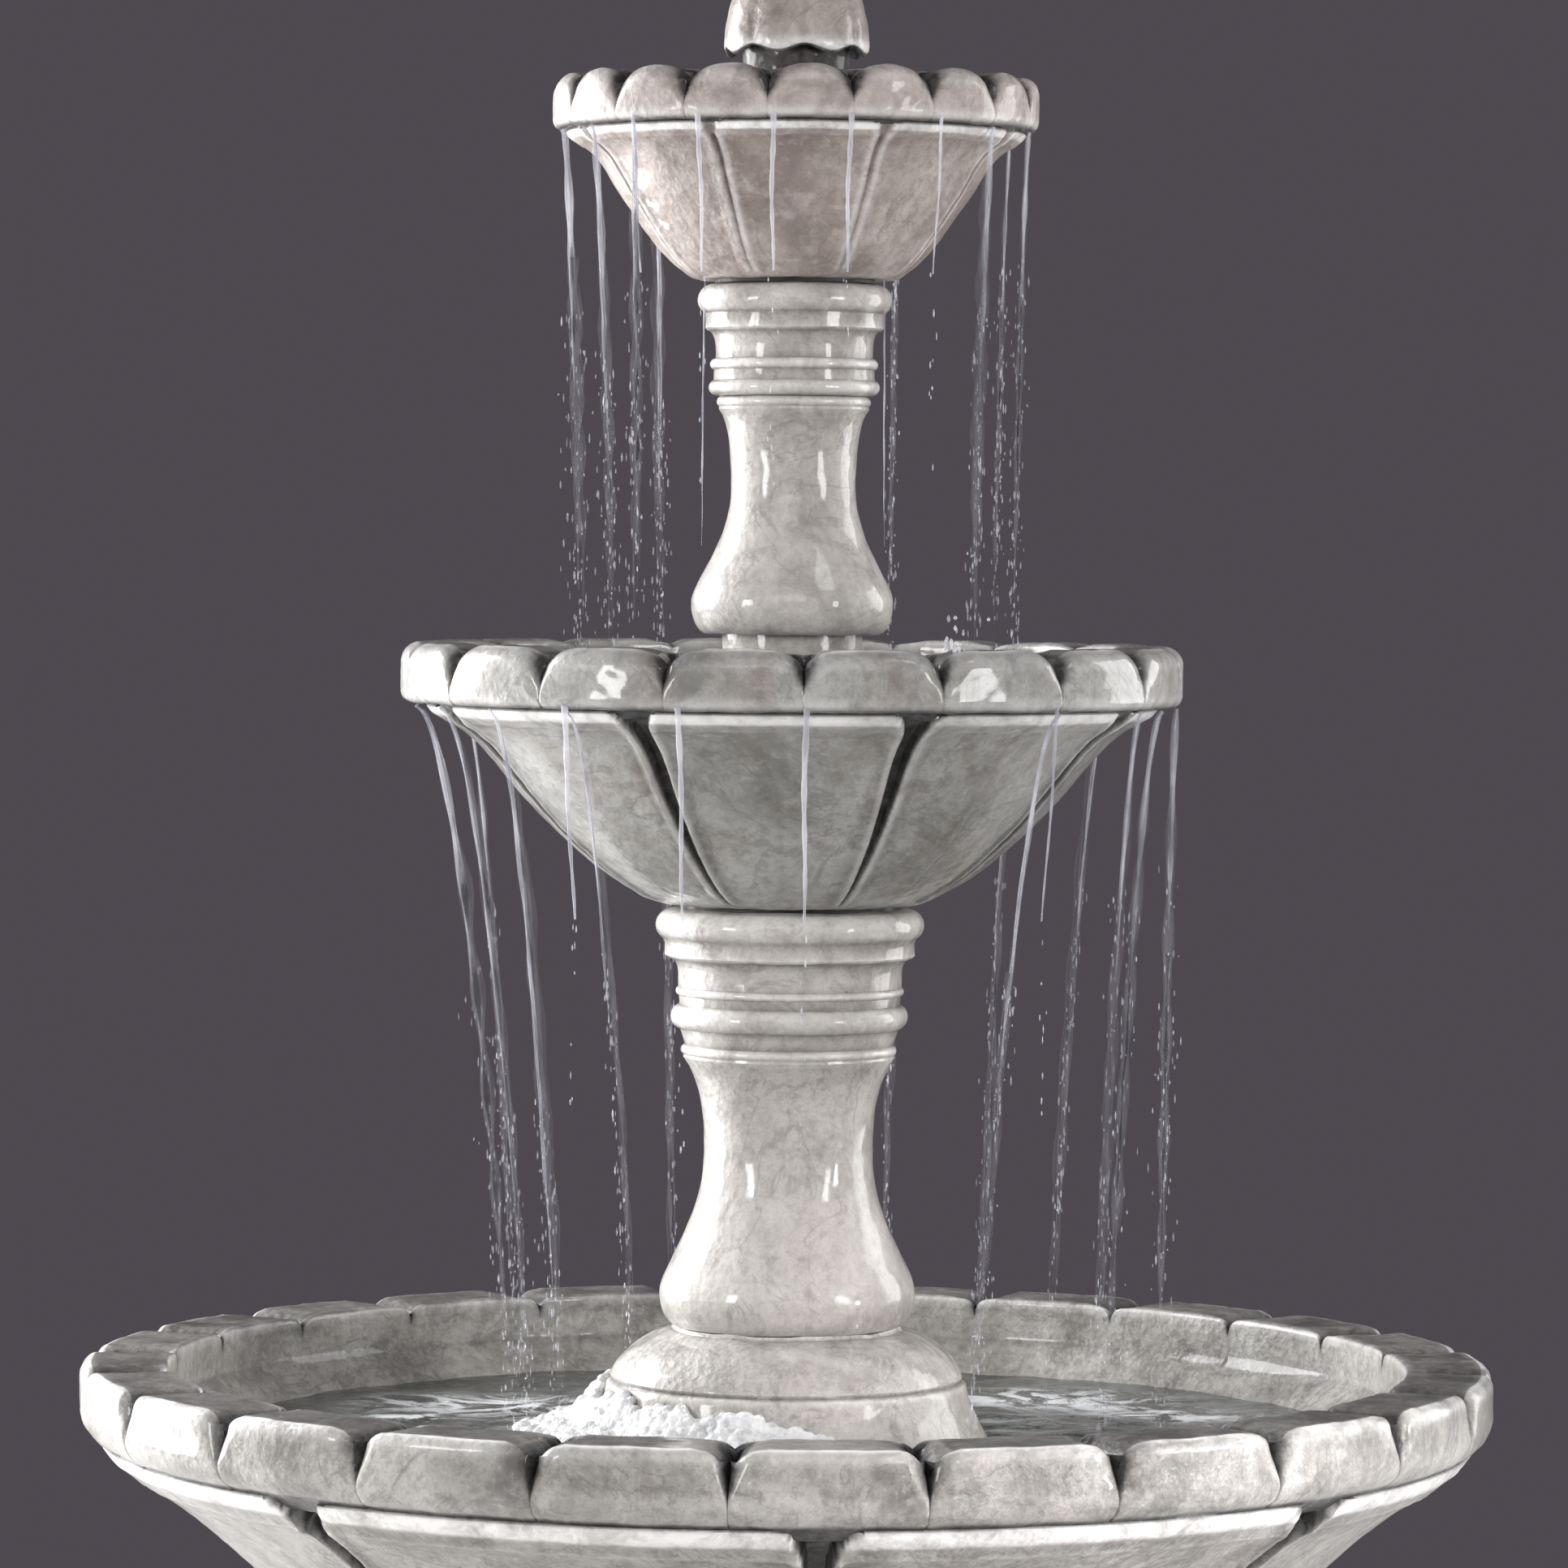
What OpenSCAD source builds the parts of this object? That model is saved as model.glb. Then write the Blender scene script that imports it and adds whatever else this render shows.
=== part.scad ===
// Three-tier cast-stone water fountain, with its pump and plumbing.
// Millimetres, +Z up, the origin on the ground under the middle of the plinth.

/* [Pedestal] */
// Height from the ground to the top of the pedestal
pedestal_top = 397; // [340:1:460]
// Height of the round plinth
plinth_h = 55; // [45:1:70]
// Outer radius of the plinth
plinth_r = 245; // [235:1:300]
// Radius of the pedestal's hollow
pedestal_hollow_r = 106; // [104:1:110]
// Radius of the hole that the pump cord leaves by
cord_exit_r = 12; // [8:0.5:14]

/* [Bowls] */
// Outer radius of the lower bowl
lower_r = 585; // [560:1:620]
// Height of the lower bowl
lower_h = 310; // [300:1:325]
// Outer radius of the middle bowl
middle_r = 324; // [315:1:340]
// Height of the middle bowl
middle_h = 216; // [210:1:225]
// Outer radius of the top bowl
top_r = 201; // [196:1:210]
// Height of the top bowl
top_h = 167; // [162:1:175]
// Number of lobes around the lower bowl's rim
lower_lobes = 24; // [16:2:32]
// Number of lobes around each upper bowl's rim
upper_lobes = 18; // [14:2:24]

/* [Columns] */
// Height of the pump cover above the lower bowl's floor
cover_h = 284; // [275:1:295]
// Height of the lower column
lower_column_h = 347; // [340:1:360]
// Height of the upper column's turned part, which shows above the middle bowl
upper_column_h = 290; // [284:1:300]
// Radius of the bore through both columns
column_bore_r = 25; // [23:1:26]

/* [Finial] */
// Widest radius of the bud, at its petal tips
bud_r = 60; // [55:1:66]
// Height of the bud above the petal tips
bud_h = 108; // [96:1:120]

/* [Plumbing] */
// Outer radius of the vinyl riser tube
tube_r = 9.5; // [9:0.1:10]
// Wall of the vinyl riser tube
tube_wall = 2; // [1.5:0.1:2.5]

/* [Hidden] */
$fn = 64;
eps = 0.01;

// Stacking heights. A rubber gasket lies under each bowl.
gasket_t = 3;
lower_z = pedestal_top + gasket_t;
lower_top = lower_z + lower_h;
lower_floor = lower_z + 55;
cover_top = lower_floor + cover_h;
lower_column_top = cover_top + lower_column_h;
middle_z = lower_column_top + gasket_t;
middle_top = middle_z + middle_h;
middle_floor = middle_z + 48;
turned_z = middle_top + 8;
upper_column_top = turned_z + upper_column_h;
top_z = upper_column_top + gasket_t;
top_top = top_z + top_h;
top_floor = top_z + 38;
bud_z = top_top + 20;

// Rims: width, height, and the rounding of the outer edge at the top and at the bottom
lower_rim = [73, 62, 10, 26];
middle_rim = [44, 50, 16, 10];
top_rim = [35, 45, 14, 9];
// The sloping band under each rim: how far it stands back at its top and at its bottom, and its height
lower_band = [17, 35, 20];
middle_band = [22, 33, 12];
top_band = [11, 17, 8];

// Parts that pass through the bowls' floors
pipe_r = 14;
pipe_bore_r = tube_r + 1;
flange_r = 27;
flange_t = 6;
nut_r = 25;
nut_h = 10;
washer_t = 3;
tail_l = 16;
recess_r = 32;
recess_h = 22;
// The boss on the pump cover that centres the lower column
boss_r = 45;
boss_h = 12;
seat_gap = 1.5;

// The stopper that seals the pump's cord into the lower bowl's floor
stopper_y = 78;
stopper_r = 18;
stopper_flange_r = 25;
stopper_flange_t = 8;
cord_r = 4;

// The pump: its rotor turns about an axis along X, right above the bowl's floor
axis_z = lower_floor + 50;
housing_x = 12;
housing_l = 80;
housing_w = 72;
housing_wall = 3;
chamber_r = 24;
volute_x = -16;
well_r = 13;
shaft_r = 2;
snout_r = 9;
snout_l = 12;
outlet_top = axis_z + 62;
filter_x = -58;

// A cubic Bezier curve from a to d, without its first point
function curve(a, b, c, d, steps = 10) = [
    for (i = [1:steps])
        let (t = i / steps, u = 1 - t)
        pow(u, 3) * a + 3 * pow(u, 2) * t * b + 3 * u * pow(t, 2) * c + pow(t, 3) * d
];

// A quarter-like sweep that leaves a along Z and reaches d along Z
function sweep(a, d, ease = 0.5, steps = 10) =
    curve(a, [a.x, a.y + ease * (d.y - a.y)], [d.x, d.y - ease * (d.y - a.y)], d, steps);

// A rounded rectangle with its corner at [x, z]
module rounded_rect(x, z, w, h, r) {
    translate([x + r, z]) square([w - 2 * r, h]);
    translate([x, z + r]) square([w, h - 2 * r]);
    for (cx = [x + r, x + w - r], cz = [z + r, z + h - r]) translate([cx, cz]) circle(r);
}

// The section of a bowl's rim: its outer edge has unlike roundings at the top and at the bottom
module rim_section(x, z, w, h, high_round, low_round, lip = 6) {
    translate([x, z]) square([w - max(high_round, low_round), h - lip]);
    translate([x, z]) square([w - low_round, h - high_round]);
    translate([x, z + low_round]) square([w, h - low_round - high_round]);
    translate([x + lip, z + low_round]) square([w - lip - high_round, h - low_round]);
    translate([x + lip, z + h - lip]) circle(lip);
    translate([x + w - high_round, z + h - high_round]) circle(high_round);
    translate([x + w - low_round, z + low_round]) circle(low_round);
}

// A ring with a rounded edge, in outline, from the axis out to r
module bead(r, z, edge) {
    translate([r - edge, z]) circle(edge);
    translate([0, z - edge]) square([r - edge, 2 * edge]);
}

// A tube along Z
module pipe(z, h, outer, inner) {
    difference() {
        translate([0, 0, z]) cylinder(r = outer, h = h);
        translate([0, 0, z - eps]) cylinder(r = inner, h = h + 2 * eps);
    }
}

// The underside of a bowl, from its foot out to its band: nearly straight, then flaring near the band
function bowl_under(foot, bend, band, lean) = let (
    way = [cos(lean), sin(lean)],
    lower_reach = 0.3 * norm(bend - foot),
    upper_reach = 0.35 * norm(band - bend)
) concat(
    [foot],
    curve(foot, foot + [lower_reach, 0.05 * lower_reach], bend - 0.6 * lower_reach * way, bend),
    curve(bend, bend + upper_reach * way, band - upper_reach * [cos(26), sin(26)], band, 6)
);

// The inside of a bowl, from its wall down to its floor
function bowl_inside(wall, floor_r, floor_z) = let (w = wall.x - floor_r, h = wall.y - floor_z)
    curve(wall, [floor_r + 0.8 * w, floor_z + 0.72 * h], [floor_r + 0.3 * w, floor_z], [floor_r, floor_z]);

// Half the section of a bowl
module bowl_section(r, top, rim, band, under, inside) {
    rim_low = top - rim[1];
    rim_section(r - rim[0], rim_low, rim[0], rim[1], rim[2], rim[3]);
    polygon(concat(
        [[0, under[0].y]],
        under,
        [[r - band[1], rim_low - band[2]], [r - band[0], rim_low]],
        [[r - band[0] - 6, rim_low + 8], [r - rim[0], rim_low + 8]],
        inside,
        [[0, inside[len(inside) - 1].y]]
    ));
}

// V grooves between the lobes: each starts at the rim's inner edge and deepens outwards to the given depth
module lobe_grooves(r, top, rim, count, first, depth) {
    v_h = 2 * depth;
    for (i = [0:count - 1]) rotate([0, 0, first + i * 360 / count])
        translate([r - rim[0], 0, top]) rotate([0, atan(depth / rim[0]), 0]) rotate([90, 0, 90])
            linear_extrude(2 * rim[0]) polygon([[0, 0], [0.36 * v_h, v_h], [-0.36 * v_h, v_h]]);
}

// The outline of a turned column, from its foot ring up to its top bead, without its bore.
// bulb, waist, shoulder and neck are [radius, height]; collar, fillet and crown are [radius, height, edge].
module baluster(z, foot_r, bulb, waist, shoulder, collar, fillet, neck, ring, crown, top) {
    translate([0, z]) {
        polygon(concat(
            [[0, 0], [foot_r, 0]],
            curve([foot_r, 0], [0.5 * (foot_r + bulb.x), 0], [bulb.x, 0.4 * bulb.y], bulb, 6),
            curve(bulb, bulb + [0, 0.2 * (waist.y - bulb.y)], waist - [0, 0.52 * (waist.y - bulb.y)], waist, 12),
            curve(waist, waist + [0, 0.5 * (shoulder.y - waist.y)],
                shoulder - [0.5, 0.95] * (shoulder.y - waist.y) * 0.25, shoulder),
            [[neck.x, collar.y], neck],
            curve(neck, [neck.x, ring[1] - 4], [neck.x + 4, ring[1]], [ring[0] - 2, ring[1]], 4),
            [[ring[0], ring[1] + 2], [ring[0], ring[2]], [crown[0] - crown[2], top], [0, top]]
        ));
        bead(shoulder.x + 1.5, shoulder.y + 2, 5);
        bead(collar[0], collar[1], collar[2]);
        bead(fillet[0], fillet[1], fillet[2]);
        bead(crown[0], crown[1], crown[2]);
    }
}

module base_plinth() color("darkgray") difference() {
    rotate_extrude() {
        rounded_rect(20, 0, plinth_r - 20, plinth_h - 18, 8);
        square([plinth_r - 12, 12]);
        rounded_rect(20, 10, plinth_r - 40, plinth_h - 10, 6);
        square([60, plinth_h]);
    }
    translate([0, 0, -1]) cylinder(r = 60, h = plinth_h + 2);
}

module base_pedestal() color("darkgray") {
    foot_r = 200;
    waist = [142, 205];
    head_r = 196;
    foot_top = plinth_h + 40;
    head_z = pedestal_top - 30;
    difference() {
        rotate_extrude() {
            rounded_rect(pedestal_hollow_r - 20, head_z, head_r - pedestal_hollow_r + 20, pedestal_top - head_z, 8);
            polygon(concat(
                [[0, plinth_h], [foot_r, plinth_h], [foot_r, foot_top], [foot_r - 14, foot_top]],
                sweep([foot_r - 18, foot_top + 8], waist, 0.6),
                sweep(waist, [head_r - 14, head_z], 0.55),
                [[head_r - 14, pedestal_top - 10], [0, pedestal_top - 10]]
            ));
        }
        translate([0, 0, plinth_h - 1]) cylinder(r = pedestal_hollow_r, h = pedestal_top);
        translate([0, 0, plinth_h + 22]) rotate([-90, 0, 0]) cylinder(r = cord_exit_r, h = foot_r + 20);
    }
}

module lower_gasket() color("dimgray") pipe(pedestal_top, gasket_t, 175, 125);

lower_under = bowl_under([186, lower_z], [440, lower_z + 141], [lower_r - lower_band[1] - 8, lower_z + 220], 40);
middle_under = bowl_under([96, middle_z], [225, middle_z + 90], [middle_r - middle_band[1] - 5, middle_z + 150], 48);
top_under = bowl_under([78, top_z], [142, top_z + 64], [top_r - top_band[1] - 4, top_z + 110], 51);

module lower_bowl() color("darkkhaki") difference() {
    rotate_extrude() bowl_section(lower_r, lower_top, lower_rim, lower_band, lower_under,
        bowl_inside([lower_r - lower_rim[0], lower_top - 38], 200, lower_floor));
    lobe_grooves(lower_r, lower_top, lower_rim, lower_lobes, -90 - 4.3, 34);
    translate([0, stopper_y, lower_z - 1]) cylinder(r = stopper_r + 0.4, h = 80);
}

module middle_bowl() color("darkkhaki") difference() {
    rotate_extrude() bowl_section(middle_r, middle_top, middle_rim, middle_band, middle_under,
        bowl_inside([middle_r - middle_rim[0], middle_top - 30], 70, middle_floor));
    lobe_grooves(middle_r, middle_top, middle_rim, upper_lobes, -90 + 1.7, 26);
    translate([0, 0, middle_z - 1]) cylinder(r = pipe_r + 1, h = 80);
}

module top_bowl() color("tan") difference() {
    rotate_extrude() bowl_section(top_r, top_top, top_rim, top_band, top_under,
        bowl_inside([top_r - top_rim[0], top_top - 26], 52, top_floor));
    lobe_grooves(top_r, top_top, top_rim, upper_lobes, -90 - 6.6, 24);
    translate([0, 0, top_z - 1]) cylinder(r = pipe_r + 1, h = 80);
}

module cord_stopper() color("dimgray") difference() {
    union() {
        translate([0, stopper_y, lower_z + 6]) cylinder(r = stopper_r, h = lower_floor - lower_z);
        translate([0, stopper_y, lower_floor]) cylinder(r = stopper_flange_r, h = stopper_flange_t);
    }
    translate([0, stopper_y, lower_z]) cylinder(r = cord_r, h = 100);
    translate([0, stopper_y - 0.5, lower_z]) cube([stopper_flange_r + 5, 1, 100]);
}

// Water inlets through the foot of the pump cover, at the front and both sides
inlet_turns = [-90, 0, 180];
inlet_w = 60;
inlet_h = 34;

module pump_cover() color("darkkhaki") {
    z = lower_floor;
    step_z = cover_top - 42;
    difference() {
        rotate_extrude() {
            polygon(concat(
                [[0, z], [187, z], [187, z + 20]],
                curve([187, z + 20], [187, z + 110], [172, z + 165], [168, z + 190], 6),
                curve([168, z + 190], [161, z + 203], [152, z + 218], [149, z + 236]),
                [[146, step_z]],
                curve([146, step_z], [142, step_z + 19], [118, step_z + 34], [96, cover_top - 3]),
                [[94, cover_top], [0, cover_top]]
            ));
            translate([0, cover_top - 1]) square([boss_r, boss_h + 1]);
        }
        rotate_extrude() polygon(concat(
            [[0, z - 1], [140, z - 1], [140, z + 120]],
            curve([140, z + 120], [136, z + 195], [90, z + 232], [0, z + 236])
        ));
        translate([0, 0, z]) cylinder(r = column_bore_r, h = cover_h + boss_h + 1);
        for (turn = inlet_turns) rotate([0, 0, turn])
            translate([100, -inlet_w / 2, z - 1]) cube([100, inlet_w, inlet_h + 1]);
    }
}

module lower_column() color("darkkhaki") difference() {
    rotate_extrude() baluster(cover_top, 92, [106.4, 26], [70, 146], [87.8, 227], [98.4, 257, 11],
        [94.6, 278, 4], [92.7, 290], [103.7, 306, 319], [111.4, 333, 13], lower_column_h);
    translate([0, 0, cover_top - 1]) cylinder(r = column_bore_r, h = lower_column_h + 2);
    translate([0, 0, cover_top - 1]) cylinder(r = boss_r + seat_gap, h = boss_h + seat_gap + 1);
    translate([0, 0, lower_column_top - recess_h]) cylinder(r = recess_r, h = recess_h + 1);
}

module upper_column() color("darkkhaki") difference() {
    rotate_extrude() {
        baluster(turned_z, 70, [83.8, 26], [51.7, 123], [62.5, 190], [71, 204, 6.5],
            [69.6, 223, 5], [65, 234], [74, 251, 262], [80.5, 276, 13], upper_column_h);
        translate([0, middle_floor]) square([58, turned_z - middle_floor + 1]);
    }
    translate([0, 0, middle_floor - 1]) cylinder(r = column_bore_r, h = upper_column_top - middle_floor + 2);
    translate([0, 0, middle_floor - 1]) cylinder(r = recess_r, h = flange_t + 4);
    translate([0, 0, upper_column_top - recess_h]) cylinder(r = recess_r, h = recess_h + 1);
}

module middle_gasket() color("dimgray") pipe(lower_column_top, gasket_t, 90, 40);

module top_gasket() color("dimgray") pipe(upper_column_top, gasket_t, 66, 38);

// A flanged pipe through a bowl's floor. Its top stands above the water, so the bowl can't drain.
module standpipe(z, floor_z, top) {
    difference() {
        union() {
            translate([0, 0, z - tail_l]) cylinder(r = pipe_r, h = top - z + tail_l);
            translate([0, 0, floor_z]) cylinder(r = flange_r, h = flange_t);
        }
        translate([0, 0, z - tail_l - 1]) cylinder(r = pipe_bore_r, h = top - z + tail_l + 2);
    }
}

module pipe_nut(z) {
    difference() {
        translate([0, 0, z - washer_t - nut_h]) cylinder(r = nut_r, h = nut_h, $fn = 6);
        translate([0, 0, z - 20]) cylinder(r = pipe_r, h = 25);
    }
}

module middle_standpipe() color("whitesmoke") standpipe(middle_z, middle_floor, middle_top + 20);

module middle_washer() color("dimgray") pipe(middle_z - washer_t, washer_t, nut_r, pipe_r);

module middle_nut() color("whitesmoke") pipe_nut(middle_z);

module top_standpipe() color("whitesmoke") standpipe(top_z, top_floor, top_top - 22);

module top_washer() color("dimgray") pipe(top_z - washer_t, washer_t, nut_r, pipe_r);

module top_nut() color("whitesmoke") pipe_nut(top_z);

// A brass cap on the top standpipe, which turns the rising water outwards through ports in its side
nozzle_z = top_top - 22;
nozzle_r = 19;
nozzle_skirt = 14;
nozzle_ports = 8;

module spray_nozzle() color("goldenrod") difference() {
    translate([0, 0, nozzle_z - nozzle_skirt]) cylinder(r = nozzle_r, h = nozzle_skirt + 18);
    translate([0, 0, nozzle_z - nozzle_skirt - 1]) cylinder(r = pipe_r, h = nozzle_skirt + 1);
    translate([0, 0, nozzle_z - 1]) cylinder(r = pipe_bore_r, h = 13);
    for (i = [0:nozzle_ports - 1]) rotate([0, 0, i * 360 / nozzle_ports])
        translate([pipe_bore_r - 2, 0, nozzle_z + 5]) rotate([0, 90, 0]) cylinder(r = 2.5, h = nozzle_r, $fn = 16);
}

finial_stem_r = 44;
finial_bore_r = 31;
finial_ports = 8;

module finial() color("tan") {
    ceiling = bud_z + 14;
    difference() {
        rotate_extrude() {
            translate([0, top_floor]) square([finial_stem_r, bud_z + 10 - top_floor]);
            polygon(concat(
                [[0, bud_z + 8], [bud_r - 5, bud_z]],
                curve([bud_r - 5, bud_z], [bud_r - 1, bud_z - 2], [bud_r, bud_z + 2], [bud_r, bud_z + 9], 4),
                curve([bud_r, bud_z + 9], [bud_r - 1, bud_z + bud_h - 56], [34, bud_z + bud_h - 26], [14, bud_z + bud_h - 14], 14),
                curve([14, bud_z + bud_h - 14], [9, bud_z + bud_h - 11], [9, bud_z + bud_h - 2], [0, bud_z + bud_h], 6)
            ));
        }
        translate([0, 0, top_floor - 1]) cylinder(r = finial_bore_r, h = ceiling - top_floor);
        for (i = [0:finial_ports - 1]) rotate([0, 0, (i + 0.5) * 360 / finial_ports])
            translate([0, 0, bud_z - 12]) rotate([0, 90, 0]) cylinder(r = 7, h = bud_r);
        for (i = [0:3]) rotate([0, 0, i * 90 + 45])
            translate([20, -9, top_floor - 1]) cube([40, 18, 16]);
    }
}

module riser_tube() color("lightblue") pipe(outlet_top - 24, top_top - 50 - outlet_top, tube_r, tube_r - tube_wall);

clamp_z = outlet_top - 14;
clamp_h = 9;

module hose_clamp() color("silver") {
    pipe(clamp_z, clamp_h, tube_r + 0.8, tube_r);
    difference() {
        translate([tube_r + 0.8 - 0.4, -7, clamp_z]) cube([8, 14, clamp_h]);
        translate([tube_r + 4.8, -8, clamp_z + clamp_h / 2]) rotate([-90, 0, 0]) cylinder(r = 2.6, h = 16);
    }
}

module clamp_screw() color("silver") {
    translate([tube_r + 4.8, -9, clamp_z + clamp_h / 2]) rotate([-90, 0, 0]) cylinder(r = 2.5, h = 17);
    translate([tube_r + 4.8, -13, clamp_z + clamp_h / 2]) rotate([-90, 0, 0]) cylinder(r = 4, h = 4, $fn = 6);
}

module outlet_adapter() color("black") difference() {
    union() {
        pipe(outlet_top - 24, 24, tube_r - tube_wall, 5);
        pipe(outlet_top - 32, 8, 12, 5);
        pipe(outlet_top - 40, 8, 8, 5);
    }
}

// The outline of the pump's housing across its axis: [across, up] from the axis
module housing_outline(inset) {
    half = housing_w / 2 - inset;
    rounded_rect(-half, -half, 2 * half, 2 * half, 10);
}

// Stands an outline across the pump's axis, from x1 to x2
module along_axis(x1, x2) {
    translate([x1, 0, axis_z]) rotate([90, 0, 90]) linear_extrude(x2 - x1) children();
}

module pump_housing() color("black") {
    x2 = housing_x + housing_l;
    difference() {
        along_axis(housing_x, x2) housing_outline(0);
        difference() {
            along_axis(housing_x + housing_wall, x2 - housing_wall) housing_outline(housing_wall);
            along_axis(housing_x, x2 - 12) circle(well_r + 2);
        }
        along_axis(housing_x - 1, x2 - 14) circle(well_r);
        translate([x2 - 6, 0, axis_z + 20]) rotate([0, 90, 0]) cylinder(r = cord_r + 2, h = 10);
    }
}

module pump_stator() color("sienna") difference() {
    along_axis(housing_x + 8, housing_x + housing_l - 20) square([58, 58], center = true);
    along_axis(housing_x, housing_x + housing_l) circle(well_r + 2.3);
}

module pump_volute() color("black") difference() {
    union() {
        along_axis(volute_x, housing_x) circle(chamber_r + 6);
        along_axis(volute_x, housing_x) rounded_rect(-30, -36, 60, 26, 6);
        along_axis(volute_x - snout_l, volute_x) circle(snout_r);
        translate([0, 0, axis_z + chamber_r]) cylinder(r = 11, h = outlet_top - 32 - axis_z - chamber_r);
    }
    along_axis(volute_x + 4, housing_x + 1) circle(chamber_r);
    along_axis(volute_x - snout_l - 1, volute_x + 5) circle(6.5);
    translate([0, 0, axis_z + 10]) cylinder(r = 5, h = 60);
    translate([0, 0, outlet_top - 40]) cylinder(r = 8, h = 10);
}

module pump_feet() color("dimgray") for (x = [3, housing_x + housing_l - 20], y = [-24, 24])
    translate([x, y, lower_floor]) {
        cylinder(r1 = 12, r2 = 6, h = 9);
        cylinder(r = 5, h = axis_z - housing_w / 2 - lower_floor);
    }

module pump_cord_inlet() color("dimgray") difference() {
    x2 = housing_x + housing_l;
    translate([x2 - housing_wall, 0, axis_z + 20]) rotate([0, 90, 0]) cylinder(r = cord_r + 2, h = 18);
    translate([x2 + 5, 0, axis_z + 20]) rotate([0, 90, 0]) cylinder(r = cord_r, h = 12);
}

well_end = housing_x + housing_l - 14;
bush_l = 6;

module pump_shaft() color("white") along_axis(volute_x + 5, well_end - 1) circle(shaft_r);

module rear_bush() color("dimgray") along_axis(well_end - bush_l, well_end) difference() {
    circle(6);
    circle(shaft_r);
}

module front_bush() color("dimgray") along_axis(volute_x + 4, volute_x + 8) difference() {
    circle(5);
    circle(shaft_r);
}

running_fit = 0.05;

module rotor_magnet() color("gray") along_axis(housing_x + 2, well_end - bush_l - 1) difference() {
    circle(well_r - 0.7);
    circle(shaft_r + running_fit);
}

module impeller() color("white") difference() {
    union() {
        along_axis(housing_x - 4, housing_x - 1) circle(chamber_r - 3);
        along_axis(volute_x + 9, housing_x + 2) circle(5);
        for (i = [0:5]) along_axis(volute_x + 9, housing_x - 4) rotate(i * 60) translate([3, -1]) square([chamber_r - 7, 2]);
    }
    along_axis(volute_x, housing_x + 3) circle(shaft_r + running_fit);
}

module flow_dial() color("white") along_axis(volute_x - 9, volute_x - 2) difference() {
    union() {
        circle(14);
        translate([-2.5, 8]) square([5, 14]);
    }
    circle(snout_r + 0.1);
}

module filter_cover() color("black") difference() {
    along_axis(filter_x, volute_x + 6) rounded_rect(-39, -38, 78, 76, 10);
    along_axis(filter_x + 2.5, volute_x + 7) rounded_rect(-36.5, -36.5, 73, 73, 9);
    for (i = [-4:4]) translate([filter_x - 1, i * 7.5 - 1.5, axis_z - 30]) cube([5, 3, 60]);
    translate([volute_x - 8, -12, axis_z + 20]) cube([20, 24, 30]);
}

module filter_foam() color("dimgray") difference() {
    along_axis(filter_x + 3, filter_x + 20) rounded_rect(-35, -35, 70, 70, 8);
    along_axis(filter_x + 2, filter_x + 21) circle(16);
}

base_plinth();
base_pedestal();
lower_gasket();
lower_bowl();
cord_stopper();
pump_cover();
lower_column();
middle_gasket();
middle_bowl();
middle_standpipe();
middle_washer();
middle_nut();
upper_column();
top_gasket();
top_bowl();
top_standpipe();
top_washer();
top_nut();
spray_nozzle();
finial();
riser_tube();
hose_clamp();
clamp_screw();
outlet_adapter();
pump_housing();
pump_stator();
pump_volute();
pump_feet();
pump_cord_inlet();
pump_shaft();
rear_bush();
front_bush();
rotor_magnet();
impeller();
flow_dial();
filter_cover();
filter_foam();
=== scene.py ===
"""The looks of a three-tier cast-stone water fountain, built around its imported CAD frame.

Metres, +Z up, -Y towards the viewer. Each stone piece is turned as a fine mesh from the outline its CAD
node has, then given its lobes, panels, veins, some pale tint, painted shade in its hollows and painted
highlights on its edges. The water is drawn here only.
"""

import random
from math import atan2, ceil, cos, degrees, dist, exp, hypot, pi, radians, sin

import bpy
import numpy as np
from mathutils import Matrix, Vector, noise


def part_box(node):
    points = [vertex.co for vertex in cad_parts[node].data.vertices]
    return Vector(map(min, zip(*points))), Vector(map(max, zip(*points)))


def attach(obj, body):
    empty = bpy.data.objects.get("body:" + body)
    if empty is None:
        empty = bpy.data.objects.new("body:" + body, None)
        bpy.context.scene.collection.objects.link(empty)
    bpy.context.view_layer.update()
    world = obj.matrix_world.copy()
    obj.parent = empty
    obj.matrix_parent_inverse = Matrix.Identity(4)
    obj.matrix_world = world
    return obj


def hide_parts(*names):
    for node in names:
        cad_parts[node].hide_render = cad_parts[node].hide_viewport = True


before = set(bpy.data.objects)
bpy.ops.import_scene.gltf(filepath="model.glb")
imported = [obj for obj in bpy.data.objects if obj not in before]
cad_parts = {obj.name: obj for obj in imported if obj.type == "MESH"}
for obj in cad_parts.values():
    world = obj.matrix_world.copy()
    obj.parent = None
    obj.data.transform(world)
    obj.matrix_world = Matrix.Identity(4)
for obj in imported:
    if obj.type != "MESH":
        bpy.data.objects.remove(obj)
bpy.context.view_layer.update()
MM = 0.001
FRONT = -pi / 2


# ---- outlines and angles

def curve(a, b, c, d, steps=16):
    """Points of a cubic Bezier curve from a to d, without a."""
    a, b, c, d = (np.array(p, float) for p in (a, b, c, d))
    points = []
    for i in range(1, steps + 1):
        t = i / steps
        u = 1 - t
        points.append(tuple(u ** 3 * a + 3 * u * u * t * b + 3 * u * t * t * c + t ** 3 * d))
    return points


def arc(centre, radius, start, end, steps=10):
    """Points of a circular arc in the outline's plane. Angles are in degrees."""
    turns = (radians(start + (end - start) * i / steps) for i in range(steps + 1))
    return [(centre[0] + radius * cos(t), centre[1] + radius * sin(t)) for t in turns]


def at(angle, r, z):
    return (r * cos(angle), r * sin(angle), z)


def wrapped(angle):
    """The same angle between half a turn back and half a turn forward."""
    return (angle + pi) % (2 * pi) - pi


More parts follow.
